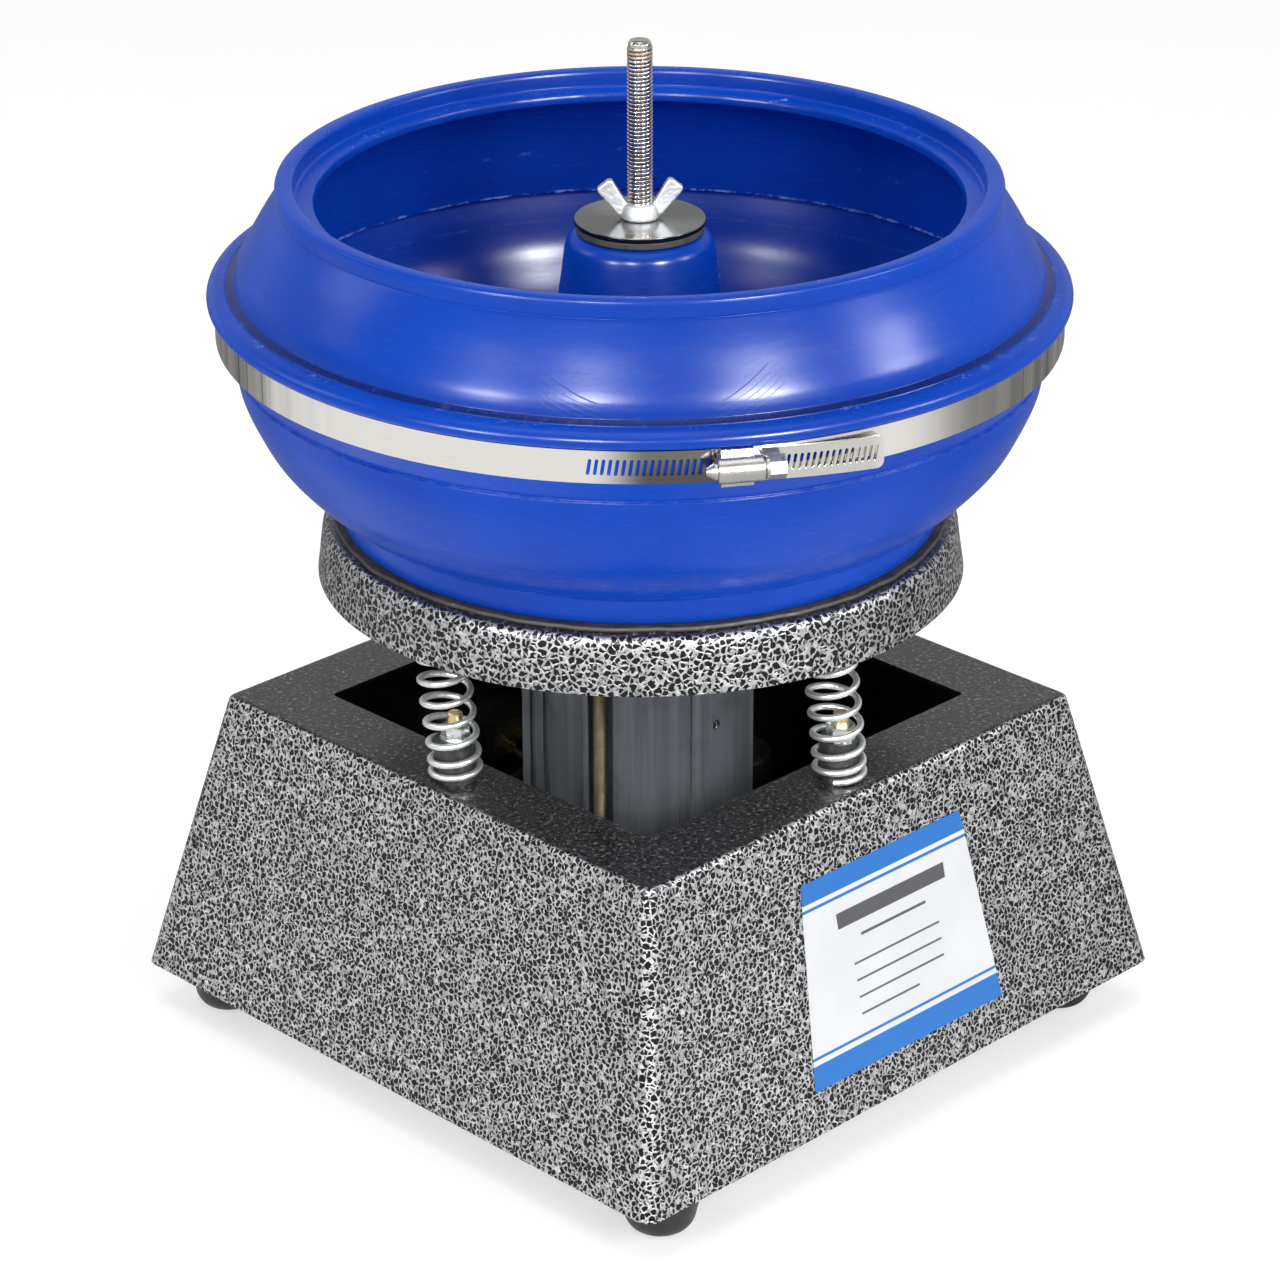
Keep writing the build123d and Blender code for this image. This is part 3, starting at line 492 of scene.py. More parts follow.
def blue_plastic(name, collar=False):
    m = Material(name)
    x, y, z = m.xyz()
    cloud = m.noise(scale=9.0, detail=3.0, rough=0.55).step(zero=0.35, one=0.7)
    col = m.mix((0.0012, 0.0530, 0.450), (0.0016, 0.0655, 0.525), amount=cloud)
    ragged = m.noise(scale=130.0, detail=5.0, rough=0.75)
    if collar:
        r = m.radius()
        flash = collar_flash(m, z, r, ragged)
    else:
        flash = (abs(z - 0.29445).step(zero=0.0009, one=0.0002)
                 * ragged.step(zero=0.42, one=0.66)) * 0.12
    col = m.mix(col, over=(0.26, 0.42, 0.92), amount=flash)
    # dust specks, and fine scratches in the roughness
    specks = (m.voronoi(scale=520.0).step(zero=0.045, one=0.02)
              * m.noise(scale=35.0).step(zero=0.60, one=0.66))
    col = m.mix(col, over=(0.55, 0.65, 0.95), amount=specks * 0.6)
    scratches = m.noise(scale=60.0, detail=4.0, rough=0.7, vector=m.scaled(1.0, 1.0, 9.0))
    rough = scratches.step(zero=0.35, one=0.7) * 0.03 + 0.25
    rough = rough + flash * 0.3
    height = m.noise(scale=240.0) * 0.5 + m.noise(scale=30.0) * 2.0
    height = height + m.noise(scale=620.0, rough=0.6) * 0.55
    if collar:
        fans = flow_lines(m, x, y, z)
        col = m.mix(col, over=(0.001, 0.016, 0.16), amount=fans * 0.45)
        # painted shade: a dark line in the step between cone and bead
        crease_shade = (r.between(rise=(0.1588, 0.1596), fall=(0.1620, 0.1628))
                  * z.between(rise=(0.3250, 0.3255), fall=(0.3269, 0.3276)))
        col = m.mix(col, over=(0.0006, 0.010, 0.10), amount=crease_shade * 0.80)
        rough = rough + fans * 0.25
        height = height - fans * 0.8
    m.set(Base_Color=col, Roughness=rough, IOR=1.45, Specular_IOR_Level=0.22,
          Subsurface_Weight=0.04, Subsurface_Radius=(0.002, 0.004, 0.012))
    m.bump(height, strength=0.18, depth=0.00016)
    return m


def metal(name, colour, rough, stretch=1, grain_scale=900.0, variation=0.10, bump=0.05,
          dirt=0.25, dirt_colour=(0.10, 0.08, 0.06), metallic=1.0):
    m = Material(name)
    grain = m.noise(grain_scale, detail=3.0, rough=0.6, vector=m.scaled(1, 1, stretch))
    cloud = m.noise(scale=70.0, detail=4.0, rough=0.6).step(zero=0.3, one=0.75)
    col = m.mix(shade(colour, 0.86), colour, amount=cloud)
    stain = m.noise(scale=160.0, detail=5.0, rough=0.7).step(zero=0.56, one=0.75)
    col = m.mix(col, dirt_colour, amount=stain * dirt)
    wear = m.edge_wear(size=0.0005, zero=0.03, one=0.25)
    col = m.mix(col, shade(colour, 1.3), amount=wear * 0.35)
    roughness = rough + (grain - 0.5) * (variation * 2)
    roughness = m.math("ADD", roughness, stain * (dirt * 0.4), clamp=True)
    m.set(Base_Color=col, Metallic=metallic, Roughness=roughness)
    m.bump(grain + m.noise(scale=130.0) * 0.6, strength=bump)
    return m


def rubber(name, colour, light, rough, dust, flecks=0.0, dust_colour=(0.10, 0.10, 0.10)):
    m = Material(name)
    col = m.noise(scale=150.0, detail=4.0, rough=0.6).ramp((0.3, colour), (0.7, light))
    dusty = m.noise(scale=60.0, detail=5.0, rough=0.7).step(zero=0.52, one=0.78)
    col = m.mix(col, dust_colour, amount=dusty * dust)
    if flecks:
        spots = (m.voronoi(scale=330.0, vector=m.scaled(1, 1, 2.5)).step(zero=0.16, one=0.08)
                 * m.noise(scale=90.0).step(zero=0.60, one=0.64))
        col = m.mix(col, over=(0.55, 0.52, 0.48), amount=spots * flecks)
    wear = m.edge_wear(size=0.0008, zero=0.03, one=0.25)
    col = m.mix(col, shade(light, 2.2), amount=wear * 0.35)
    patches = m.noise(scale=300.0, detail=3.0)
    m.set(Base_Color=col, Roughness=patches.ramp((0.3, rough - 0.1), (0.7, rough + 0.12)),
          Specular_IOR_Level=0.4)
    fine = m.noise(scale=900.0, detail=3.0, rough=0.6)
    m.bump(fine + m.noise(scale=160.0) * 0.8, strength=0.25, depth=0.00012)
    return m


def paint(name, colour, rough, stretch, chip_colour, chips, dirt):
    m = Material(name)
    streaks = m.noise(scale=240.0, detail=4.0, rough=0.6, vector=m.scaled(1, 1, stretch))
    col = m.mix(shade(colour, 0.8), shade(colour, 1.12), amount=streaks.step(zero=0.35, one=0.7))
    stain = m.noise(scale=45.0, detail=5.0, rough=0.65).step(zero=0.50, one=0.75)
    col = m.mix(col, shade(colour, 0.45), amount=stain * dirt)
    wear = (m.edge_wear(size=0.0007, zero=0.05, one=0.3)
            * m.noise(scale=700.0, detail=3.0).step(zero=0.45, one=0.6))
    col = m.mix(col, chip_colour, amount=wear * chips)
    patches = m.noise(scale=300.0, detail=3.0)
    m.set(Base_Color=col, Roughness=patches.ramp((0.3, rough - 0.06), (0.7, rough + 0.1)))
    m.bump(streaks * 0.8 + m.noise(scale=800.0), strength=0.14)
    return m


BAND_FRONT = 2.36                       # added to an angle, puts 0 towards the camera
HOUSING_ANGLE = math.radians(-122.87)   # where the clamp housing sits


def band():
    """Polished steel band with painted reflections: streaks around it, brighter towards the
    camera, dark upright lines towards both sides, and dark and lighter zones near the clamp
    housing.
    """
    m = Material("stainless_band")
    x, y, z = m.xyz()
    angle = m.math("ARCTAN2", y, x)
    off_front = abs(m.wrapped(angle + BAND_FRONT) - 0.0)
    around = m.signal("ShaderNodeCombineXYZ", {0: angle * 1.0})
    # painted reflection: lighter and darker streaks around the band, and brighter towards the
    # camera
    wide = m.noise(scale=16.0, detail=1.0, rough=0.4, vector=around)
    col = m.mix((0.34, 0.34, 0.32), (0.78, 0.76, 0.72), amount=wide.step(zero=0.36, one=0.66))
    col = m.mix((0.86, 0.84, 0.80), col, amount=off_front.step(zero=0.62, one=1.30))
    # painted reflection: dark to the left of the housing, a lighter shade to its right
    turn = angle - HOUSING_ANGLE
    left = turn.between(rise=(-0.33, -0.19), fall=(0.0, 0.02))
    low = z.step(zero=0.3160, one=0.3075)
    col = m.mix(col, over=(0.028, 0.027, 0.025), amount=left * low.remap(gain=0.10, base=0.80))
    right = turn.step(zero=0.0, one=0.02) * (turn.step(zero=0.36, one=0.30) * 0.32)
    col = m.mix(col, over=(0.30, 0.28, 0.25), amount=right)
    # painted reflection: dark upright lines towards both sides
    lines = m.noise(scale=60.0, detail=1.0, rough=0.4, vector=around)
    lines = (lines.step(zero=0.56, one=0.62)
             * off_front.between(rise=(0.95, 1.05), fall=(1.18, 1.25)))
    col = m.mix(col, over=(0.05, 0.055, 0.05), amount=lines * 0.75)
    grain = m.noise(scale=500.0, detail=3.0, rough=0.6, vector=m.scaled(1, 1, 14))
    scratches = m.noise(scale=40.0, detail=4.0, rough=0.7, vector=m.scaled(1, 1, 30))
    scratches = scratches.step(zero=0.60, one=0.70)
    col = m.mix(col, over=(0.45, 0.42, 0.38), amount=scratches * 0.18)
    m.set(Base_Color=col, Metallic=1.0, Roughness=0.14 + grain * 0.08)
    m.bump(grain, strength=0.05)
    return m


def thread():
    """Bright thread with dark roots and a rusty zone near the top."""
    m = Material("steel_thread")
    z = m.xyz()[2]
    root = m.radius().step(zero=0.00472, one=0.00436)
    grain = m.noise(scale=900.0, detail=3.0, rough=0.6)
    cloud = m.noise(scale=120.0, detail=4.0, rough=0.6).step(zero=0.35, one=0.7)
    col = m.mix((0.80, 0.76, 0.71), (0.66, 0.62, 0.57), amount=cloud)
    col = m.mix(col, over=(0.070, 0.058, 0.048), amount=root * z.step(zero=0.4188, one=0.4168))
    rust = (z.between(rise=(0.4125, 0.4150), fall=(0.4172, 0.4180))
            * m.noise(scale=260.0, detail=4.0, rough=0.6).step(zero=0.40, one=0.60))
    col = m.mix(col, over=(0.17, 0.065, 0.022), amount=rust * 0.72)
    m.set(Base_Color=col, Metallic=1.0 - rust * 0.6, Roughness=grain * 0.12 + (0.14 + rust * 0.4))
    m.bump(grain, strength=0.06)
    return m


def washer():
    """Polished upper face with two dark sectors of painted reflection; every other face is
    painted near-black as painted shade.
    """
    m = Material("polished_washer")
    normal = m.signal("ShaderNodeNewGeometry", output="True Normal")
    normal_z = m.xyz(normal)[2]
    x, y, _ = m.xyz()
    angle = m.math("ARCTAN2", y, x)
    cloud = m.noise(scale=40.0, detail=3.0, rough=0.6)
    col = m.mix((0.26, 0.265, 0.265), (0.36, 0.365, 0.36), amount=cloud.step(zero=0.3, one=0.7))
    # painted reflection: two dark sectors on the upper face
    sectors = m.math("SINE", angle * 2.0 + 2.3).step(zero=-0.6, one=0.9)
    col = m.mix(col, over=(0.10, 0.10, 0.10), amount=sectors * 0.55)
    turned = m.noise(scale=1.0, detail=3.0, rough=0.6, vector=m.scaled(900, 900, 1))
    col = m.mix(col, over=(0.5, 0.5, 0.5), amount=turned.step(zero=0.55, one=0.8) * 0.10)
    # painted shade: faces that do not face up are near-black and not metallic
    col = m.mix(col, over=(0.006, 0.006, 0.007), amount=normal_z.step(zero=0.6, one=0.3))
    m.set(Base_Color=col, Metallic=normal_z.step(zero=0.3, one=0.6),
          Roughness=0.19 + cloud * 0.06)
    m.bump(turned + cloud, strength=0.03, depth=0.00008)
    return m


LABEL_FOOT_Z = 0.019
LABEL_SLOPE = 0.97603           # height gained per length up the sloping label
# Blue bands: from, to, measured up the label
LABEL_BANDS = ((0.0925, 0.2), (0.0893, 0.0906), (0.0, 0.0280), (0.0302, 0.0314))
# Dark rules that stand in for the printing: from, to up the label; from, to along x
LABEL_RULES = ((0.0770, 0.0835, -0.030, 0.033), (0.0705, 0.0717, -0.018, 0.020),
               (0.0600, 0.0609, -0.024, 0.026), (0.0530, 0.0539, -0.024, 0.026),
               (0.0460, 0.0469, -0.024, 0.026), (0.0390, 0.0399, -0.024, 0.010))


def label():
    m = Material("printed_label")
    x, _, z = m.xyz()
    up = (z - LABEL_FOOT_Z) / LABEL_SLOPE

    def stripe(low, high, blur=0.00015):
        return up.between(rise=(low - blur, low + blur), fall=(high - blur, high + blur))

    cloud = m.noise(scale=30.0, detail=3.0).step(zero=0.35, one=0.7)
    white = m.mix((0.78, 0.79, 0.805), (0.83, 0.84, 0.85), amount=cloud)
    top, top_line, low, low_line = [stripe(*ends) for ends in LABEL_BANDS]
    bands = m.math("ADD", top + top_line, low + low_line, clamp=True)
    col = m.mix(white, over=(0.022, 0.195, 0.62), amount=bands)
    rules = None
    for low, high, start, end in LABEL_RULES:
        rise, fall = [(edge + BASE_X * MM + 0.0015, edge + BASE_X * MM + 0.0018)
                      for edge in (start, end)]
        rule = stripe(low, high) * x.between(rise, fall)
        rules = rules + rule if rules else rule
    col = m.mix(col, over=(0.02, 0.02, 0.022), amount=rules * 0.88)
    speckle = m.noise(scale=900.0).step(zero=0.5, one=0.8)
    col = m.mix(col, over=(0.5, 0.5, 0.5), amount=speckle * 0.05)
    m.set(Base_Color=col, Roughness=m.noise(scale=200.0).ramp((0.3, 0.34), (0.7, 0.42)),
          Specular_IOR_Level=0.25, Coat_Weight=0.08, Coat_Roughness=0.1)
    m.bump(m.noise(scale=120.0, detail=3.0), strength=0.03)
    return m


# name, colour, roughness, grain stretch on z, grain scale, roughness variation, bump
# strength, dirt, dirt colour, metallic
METALS = [
    ("stainless_housing", (0.50, 0.485, 0.455), 0.27, 6, 700.0, 0.07, 0.06, 0.15),
    ("zinc_screw", (0.44, 0.43, 0.405), 0.32, 1, 900.0, 0.10, 0.10, 0.30),
    ("cast_zinc", (0.44, 0.452, 0.46), 0.54, 1, 520.0, 0.16, 0.45, 0.30,
     (0.30, 0.31, 0.33), 0.75),
    ("spring_wire", (0.86, 0.88, 0.88), 0.30, 1, 800.0, 0.08, 0.06, 0.10,
     (0.4, 0.4, 0.38), 0.72),
    ("zinc_plate", (0.74, 0.76, 0.78), 0.26, 1, 900.0, 0.08, 0.08, 0.22),
    ("yellow_zinc", (0.78, 0.63, 0.33), 0.30, 2, 700.0, 0.12, 0.10, 0.35, (0.12, 0.10, 0.05)),
    ("tie_bolt_zinc", (0.50, 0.43, 0.26), 0.42, 0.4, 400.0, 0.16, 0.2, 0.75,
     (0.05, 0.045, 0.03), 0.9),
    ("brass_parts", (0.78, 0.58, 0.25), 0.25),
    ("copper_windings", (0.72, 0.33, 0.16), 0.32, 30, 260.0, 0.2, 0.5, 0.3),
    ("laminations", (0.38, 0.38, 0.40), 0.42, 40, 220.0, 0.2, 0.5, 0.35),
    ("cast_aluminium", (0.62, 0.63, 0.65), 0.46, 1, 500.0, 0.15, 0.35, 0.25),
    ("cast_iron", (0.11, 0.11, 0.115), 0.55, 1, 600.0, 0.15, 0.5, 0.4,
     (0.06, 0.035, 0.02), 0.8),
    ("ground_steel", (0.66, 0.67, 0.68), 0.18, 8, 600.0, 0.07, 0.05, 0.12),
]
# name, colour, roughness, streak stretch on z, chip colour, chips, dirt
PAINTS = [
    ("motor_grey", (0.25, 0.27, 0.30), 0.36, 0.03, (0.42, 0.43, 0.45), 0.65, 0.5),
    ("black_paint", (0.030, 0.030, 0.033), 0.45, 1, (0.3, 0.3, 0.3), 0.5, 0.3),
]
# name, dark colour, light colour, roughness, dust, pale flecks, dust colour
RUBBERS = [
    ("black_rubber", (0.010, 0.010, 0.011), (0.030, 0.030, 0.032), 0.50, 0.30),
    ("boss_rubber", (0.014, 0.014, 0.015), (0.050, 0.050, 0.053), 0.42, 0.30),
    ("gasket_rubber", (0.016, 0.012, 0.010), (0.060, 0.046, 0.036), 0.60, 0.45, 0.9,
     (0.13, 0.10, 0.07)),
    ("post_gasket_rubber", (0.050, 0.042, 0.036), (0.105, 0.088, 0.074), 0.6, 0.35, 0.0,
     (0.17, 0.15, 0.13)),
    ("black_plastic", (0.012, 0.012, 0.013), (0.028, 0.028, 0.030), 0.36, 0.12),
    ("wire_sleeve", (0.014, 0.014, 0.016), (0.035, 0.035, 0.038), 0.45, 0.15),
]
MATERIALS = {m.name: m.material for m in [
    hammered("hammered_paint_base", light=0.50, dark=0.004, cells=440.0, inside=True),
    hammered("hammered_paint_tray", light=0.42, dark=0.005, cells=380.0, glint=0.15),
    blue_plastic("blue_plastic_bowl"),
    blue_plastic("blue_plastic_collar", collar=True),
    *[metal(*row) for row in METALS],
    thread(),
    washer(),
    *[paint(*row) for row in PAINTS],
    *[rubber(*row) for row in RUBBERS],
    label(),
    band(),
]}

# Material: the CAD pieces that wear it
FINISHES = {
    "hammered_paint_base": "base_housing",
    "hammered_paint_tray": "drive_tray",
    "blue_plastic_bowl": "lower_bowl",
    "blue_plastic_collar": "bowl_collar",
    "black_paint": "bottom_cover",
    "motor_grey": "motor_housing",
    "printed_label": "label_plate",
    "black_rubber": "rubber_feet",
    "boss_rubber": "lower_spring_bosses upper_spring_bosses",
    "gasket_rubber": "tray_gasket",
    "post_gasket_rubber": "post_gasket",
    "black_plastic": "switch_body power_inlet run_capacitor cooling_fan switch_rocker",
    "wire_sleeve": "supply_wires motor_lead",
    "spring_wire": "support_springs",
    "yellow_zinc": "lower_spring_bolts upper_spring_bolts",
    "zinc_plate": "bottom_cover_screws foot_screws foot_nuts lower_spring_nuts inlet_screws "
                  "capacitor_clip capacitor_clip_screw stud_nuts stud_washer "
                  "upper_spring_nuts motor_earth_screw motor_mount_screws "
                  "eccentric_set_screw",
    "brass_parts": "switch_terminals inlet_pins",
    "steel_thread": "center_stud",
    "cast_aluminium": "motor_top_bell motor_bottom_bell rotor_cage_rings",
    "tie_bolt_zinc": "motor_tie_bolts",
    "laminations": "stator_core rotor_core",
    "copper_windings": "stator_windings",
    "ground_steel": "bearing_outer_races rotor_shaft bearing_inner_races bearing_balls",
    "cast_iron": "eccentric_weight",
    "stainless_band": "clamp_band",
    "stainless_housing": "clamp_housing",
    "zinc_screw": "clamp_worm_screw",
    "polished_washer": "steel_washer",
    "cast_zinc": "wing_nut",
}
for finish, pieces in FINISHES.items():
    for piece in pieces.split():
        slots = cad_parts[piece].data.materials
        slots.clear()
        slots.append(MATERIALS[finish])

# ------------------------------------------------------------------ bowl
RIM_R, RIM_IN, RIM_Z = 166.2, 158.2, 318.6


def on_post(z):
    """A point on the tapered centre post at height z."""
    return (31.5 + (323.0 - z) * 0.130, z)


# (r, z) in mm: up the outside, over the rim, down the inside, up the hollow post and back
BOWL = [
    ("line", [(114.0, 228.0), (119.6, 228.0), (120.1, 228.5), (121.8, 238.4), (121.5, 239.2),
              (124.2, 239.9)]),
    ("curve", [(124.2, 239.9), (129.6, 243.9), (136.7, 250.0), (147.3, 262.0),
               (154.3, 275.0), (158.2, 285.0), (159.6, 294.2)]),
    ("line", [(159.6, 294.2), (158.7, 294.7), (159.2, 295.6), (165.6, 303.9),
              (RIM_R, 304.9), (RIM_R, RIM_Z), (RIM_IN, RIM_Z), (RIM_IN, 305.2)]),
    ("curve", [(RIM_IN, 305.2), (156.6, 298.0), (153.9, 285.0), (149.6, 275.0),
               (142.4, 262.0), (131.6, 250.0), (120.8, 242.2), (108.0, 238.0),
               (98.0, 237.2)]),
    ("line", [(98.0, 237.2), (48.0, 237.2)]),
    ("curve", [(48.0, 237.2), (44.4, 238.3), (42.3, 241.5), on_post(246.0)]),
    ("line", [on_post(246.0), on_post(336.4)]),
    ("curve", [on_post(336.4), (28.6, 340.2), (25.8, 342.8), (22.0, 343.6)]),
    ("line", [(22.0, 343.6), (5.8, 343.6), (5.8, 339.2), (20.5, 339.2), (25.4, 335.5),
              (37.6, 241.0), (40.5, 233.2), (104.0, 233.2), (112.5, 232.6)]),
]


def bowl_warp(r, z, angle):
    if r > 100 and 242 < z < 290:
        r += ripple(angle, z, height=0.25, waves=2.0)
    return r, z


bowl = lathe("bowl_lower_shell", soften(trace(BOWL), radius=0.6), 320,
             MATERIALS["blue_plastic_bowl"], bowl_warp)
put(bowl, "bowl", "lower_bowl")

# ------------------------------------------------------------------ collar
# (r, z) in mm: the skirt, the bead, the cone, the lip with its ledge, and the inner face
COLLAR = [
    ("line", [(152.6, 307.6), (158.05, 307.6), (158.05, 318.7), (167.6, 318.7)]),
    ("curve", [(167.6, 318.7), (169.3, 319.5), (170.0, 321.3), (169.2, 323.4),
               (166.8, 325.0), (163.0, 325.6)]),
    ("line", [(163.0, 325.6), (162.5, 325.3), (162.2, 325.9), (160.3, 326.4),
              (159.3, 327.0)]),
    ("curve", [(159.3, 327.0), (158.4, 330.5), (156.9, 334.3), (153.1, 341.1),
               (148.0, 349.8), (143.0, 357.3), (141.7, 359.0)]),
    ("line", [(141.7, 359.0), (142.0, 359.6), (142.0, 364.6)]),
    ("curve", [(142.0, 364.6), (141.6, 365.6), (140.6, 366.0)]),
    ("line", [(140.6, 366.0), (136.2, 366.0)]),
    ("curve", [(136.2, 366.0), (135.2, 365.6), (134.8, 364.6)]),
    ("line", [(134.8, 364.6), (134.8, 359.6), (134.0, 358.8), (128.4, 358.8)]),
    ("curve", [(128.4, 358.8), (127.4, 358.4), (127.0, 357.4)]),
    ("line", [(127.0, 357.4), (127.0, 355.2), (127.8, 354.4), (137.6, 354.4)]),
    ("curve", [(137.6, 354.4), (140.4, 352.6), (146.2, 344.0), (150.6, 335.6),
               (152.6, 326.0)]),
]


def collar_warp(r, z, angle):
    """Ragged lower inner edge and a slightly uneven mouth."""
    if z < 308.5 and r < 156:
        return (r + ripple(angle, z, height=0.5, waves=26.0),
                z + ripple(angle, z, height=0.7, waves=34.0, shift=3))
    if r < 127.5:
        return r + ripple(angle, z, height=0.22, waves=24.0), z
    return r, z


collar_shell = lathe("bowl_collar_shell", soften(trace(COLLAR), radius=0.5), 360,
                     MATERIALS["blue_plastic_collar"], collar_warp)
put(collar_shell, "collar", "bowl_collar")

# ------------------------------------------------------------------ tray and its gasket
TRAY_TOP = 226.0
TRAY_UNDER = TRAY_TOP - 2.0
TRAY_HOLE_R = 6.2
SKIRT_Z = 202.4                 # lower edge of the tray's skirt
GASKET_LOW, GASKET_TOP = TRAY_TOP + 0.05, 227.95
GASKET_IN = 112.2
TRAY = [
    ("line", [(TRAY_HOLE_R, TRAY_TOP), (122.7, TRAY_TOP)]),
    ("curve", [(122.7, TRAY_TOP), (125.4, 225.3), (127.0, 223.6), (127.75, 221.0)]),
    ("line", [(127.75, 221.0), (130.15, SKIRT_Z), (128.15, SKIRT_Z), (125.75, 220.8)]),
    ("curve", [(125.75, 220.8), (125.1, 222.6), (124.1, 223.6), (122.6, TRAY_UNDER)]),
    ("line", [(122.6, TRAY_UNDER), (TRAY_HOLE_R, TRAY_UNDER)]),
]
GASKET = [(GASKET_IN, GASKET_LOW), (123.0, GASKET_LOW), (123.4, 226.9), (122.7, GASKET_TOP),
          (GASKET_IN, GASKET_TOP)]


def tray_warp(r, z, angle):
    bulge = ripple(angle, z, height=0.5, waves=2.2) if r > 122 else 0
    droop = ripple(angle, z, height=0.35, waves=2.6, shift=5) if z < 215 else 0
    return r + bulge, z + droop


def gasket_warp(r, z, angle):
    if r > 121:
        r += (ripple(angle, z, height=0.9, waves=9.0)
              + ripple(angle, z, height=0.5, waves=30.0))
    return r, z


tray = lathe("tray_shell", refine(soften(trace(TRAY), radius=0.6), step=4.0), 320,
             MATERIALS["hammered_paint_tray"], tray_warp)
put(tray, "head", "drive_tray")

gasket = lathe("tray_gasket_ring", soften(GASKET, radius=0.5), 360,
               MATERIALS["gasket_rubber"], gasket_warp)
put(gasket, "head", "tray_gasket")

# ------------------------------------------------------------------ stud
STUD_R = 5.0
STUD_LOW_R = 4.85               # plain lower length
STUD_LOW = [(0, 216.8), (3.9, 216.8), (STUD_LOW_R, 217.8), (STUD_LOW_R, 338.0), (0, 338.0)]
THREAD_LOW, THREAD_TOP = 337.0, 420.3
THREAD_PITCH, THREAD_DEPTH = 1.56, 0.72
THREAD_SEGMENTS = 56            # around
THREAD_STEPS = 14               # rings per pitch
CHAMFER_TOP, CHAMFER_LOW = 1.3, 0.4
PLAIN_TOP = 2.3                 # length at the top without thread


def thread_radius(z, turn):
    """Radius of the helical thread at height z and a fraction of a turn."""
    phase = (z / THREAD_PITCH - turn) % 1.0
    crest = abs(phase - 0.5) * 2            # 1 at the crest, 0 at the root
    rise = min(1.0, max(0.0, (crest - 0.06) / 0.52))
    rise = rise * rise * (3 - 2 * rise)
    r = STUD_R - THREAD_DEPTH * (1 - rise)
    below_top, above_low = THREAD_TOP - z, z - THREAD_LOW
    if below_top < PLAIN_TOP:
        r = STUD_R - THREAD_DEPTH * 0.75
    if below_top < CHAMFER_TOP:
        r = min(r, STUD_R - THREAD_DEPTH * 0.2 - (CHAMFER_TOP - below_top) * 0.85)
    if above_low < CHAMFER_LOW:
        r = min(r, STUD_R - (CHAMFER_LOW - above_low))
    return r


def threaded_rod(name, mat):
    length = THREAD_TOP - THREAD_LOW
    steps = int(round(length / (THREAD_PITCH / THREAD_STEPS)))
    bm = bmesh.new()
    rings = []
    for i in range(steps + 1):
        z = THREAD_LOW + length * i / steps
        ring = []
        for j in range(THREAD_SEGMENTS):
            angle = 2 * math.pi * j / THREAD_SEGMENTS
            r = thread_radius(z, j / THREAD_SEGMENTS)
            ring.append(bm.verts.new(polar(r, angle, z)))
        rings.append(ring)
    capped(bm, rings)
    return finish_mesh(bm, name, mat, sharp=60)


steel = MATERIALS["steel_thread"]
stud_low = lathe("stud_low", soften(STUD_LOW, radius=0.1), 40, steel)
stud = join("center_stud_threaded", [stud_low, threaded_rod("stud_rod", steel)])
put(stud, "head", "center_stud")

# ------------------------------------------------------------------ wing nut
NUT_TURN = math.radians(-41.37)     # of the wings about Z, from the X axis
BORE_R = STUD_R + 0.06
WING_HALF = 1.75                    # half the wing's thickness
# (r, z) of the hub
HUB = [(3.0, 348.65), (7.3, 348.65), (7.7, 349.5), (7.5, 351.2), (6.6, 353.6), (5.9, 354.7),
       (3.0, 354.9)]
# (distance from the axis, z) of one wing
WING = [(4.4, 349.4), (8.8, 350.4), (12.4, 354.9), (16.6, 359.6), (16.7, 361.0),
        (12.6, 364.3), (11.0, 364.3), (10.2, 363.0), (7.4, 358.2), (5.6, 355.4),
        (3.4, 354.2)]


def nut_wing(side, mat):
    """A flat wing towards +X (side 1) or -X (side -1)."""
    bm = bmesh.new()
    front, back = [[bm.verts.new((side * x * MM, y * MM, z * MM)) for x, z in WING]
                   for y in (-WING_HALF, WING_HALF)]
    for i in range(len(WING)):
        k = (i + 1) % len(WING)
        bm.faces.new((front[i], front[k], back[k], back[i]))
    bm.faces.new(front)
    bm.faces.new(list(reversed(back)))
    return finish_mesh(bm, "nut_wing", mat, sharp=30)


def cast(ob, voxel, factor, passes, rough, frequency):
    """Melts overlapping shells into one casting with a fine uneven skin; sizes in mm."""
    remesh = ob.modifiers.new("remesh", "REMESH")
    remesh.mode = "VOXEL"
    remesh.voxel_size = voxel * MM
    smooth = ob.modifiers.new("smooth", "SMOOTH")
    smooth.factor = factor
    smooth.iterations = passes
    depsgraph = bpy.context.evaluated_depsgraph_get()
    mesh = bpy.data.meshes.new_from_object(ob.evaluated_get(depsgraph))
    mats = list(ob.data.materials)
    ob.modifiers.clear()
    ob.data = mesh
    mesh.materials.clear()
    for mat in mats:
        mesh.materials.append(mat)
    for v in mesh.vertices:
        skin = noise.noise(v.co * frequency) + 0.6 * noise.noise(v.co * frequency * 2.3)
        v.co = v.co + v.normal * (skin * rough * MM)
    for face in mesh.polygons:
        face.use_smooth = True


def open_bore(mesh):
    """Pushes vertices inside the bore out to its wall."""
    bore = BORE_R * MM
    for v in mesh.vertices:
        r = math.hypot(v.co.x, v.co.y)
        if 1e-6 < r < bore:
            v.co.x *= bore / r
            v.co.y *= bore / r


zinc = MATERIALS["cast_zinc"]
nut = join("wing_nut_casting",
           [lathe("nut_hub", HUB, 64, zinc), nut_wing(1, zinc), nut_wing(-1, zinc)])
cast(nut, voxel=0.32, factor=0.5, passes=7, rough=0.085, frequency=900.0)
open_bore(nut.data)
nut.data.transform(Matrix.Rotation(NUT_TURN, 4, "Z"))
put(nut, "wing_nut", "wing_nut")

# ------------------------------------------------------------------ springs
SPRING_OUT = 107.0              # from the base centre to each spring
COIL_R, WIRE_R = 9.7, 1.33
COIL_SAMPLES = 280
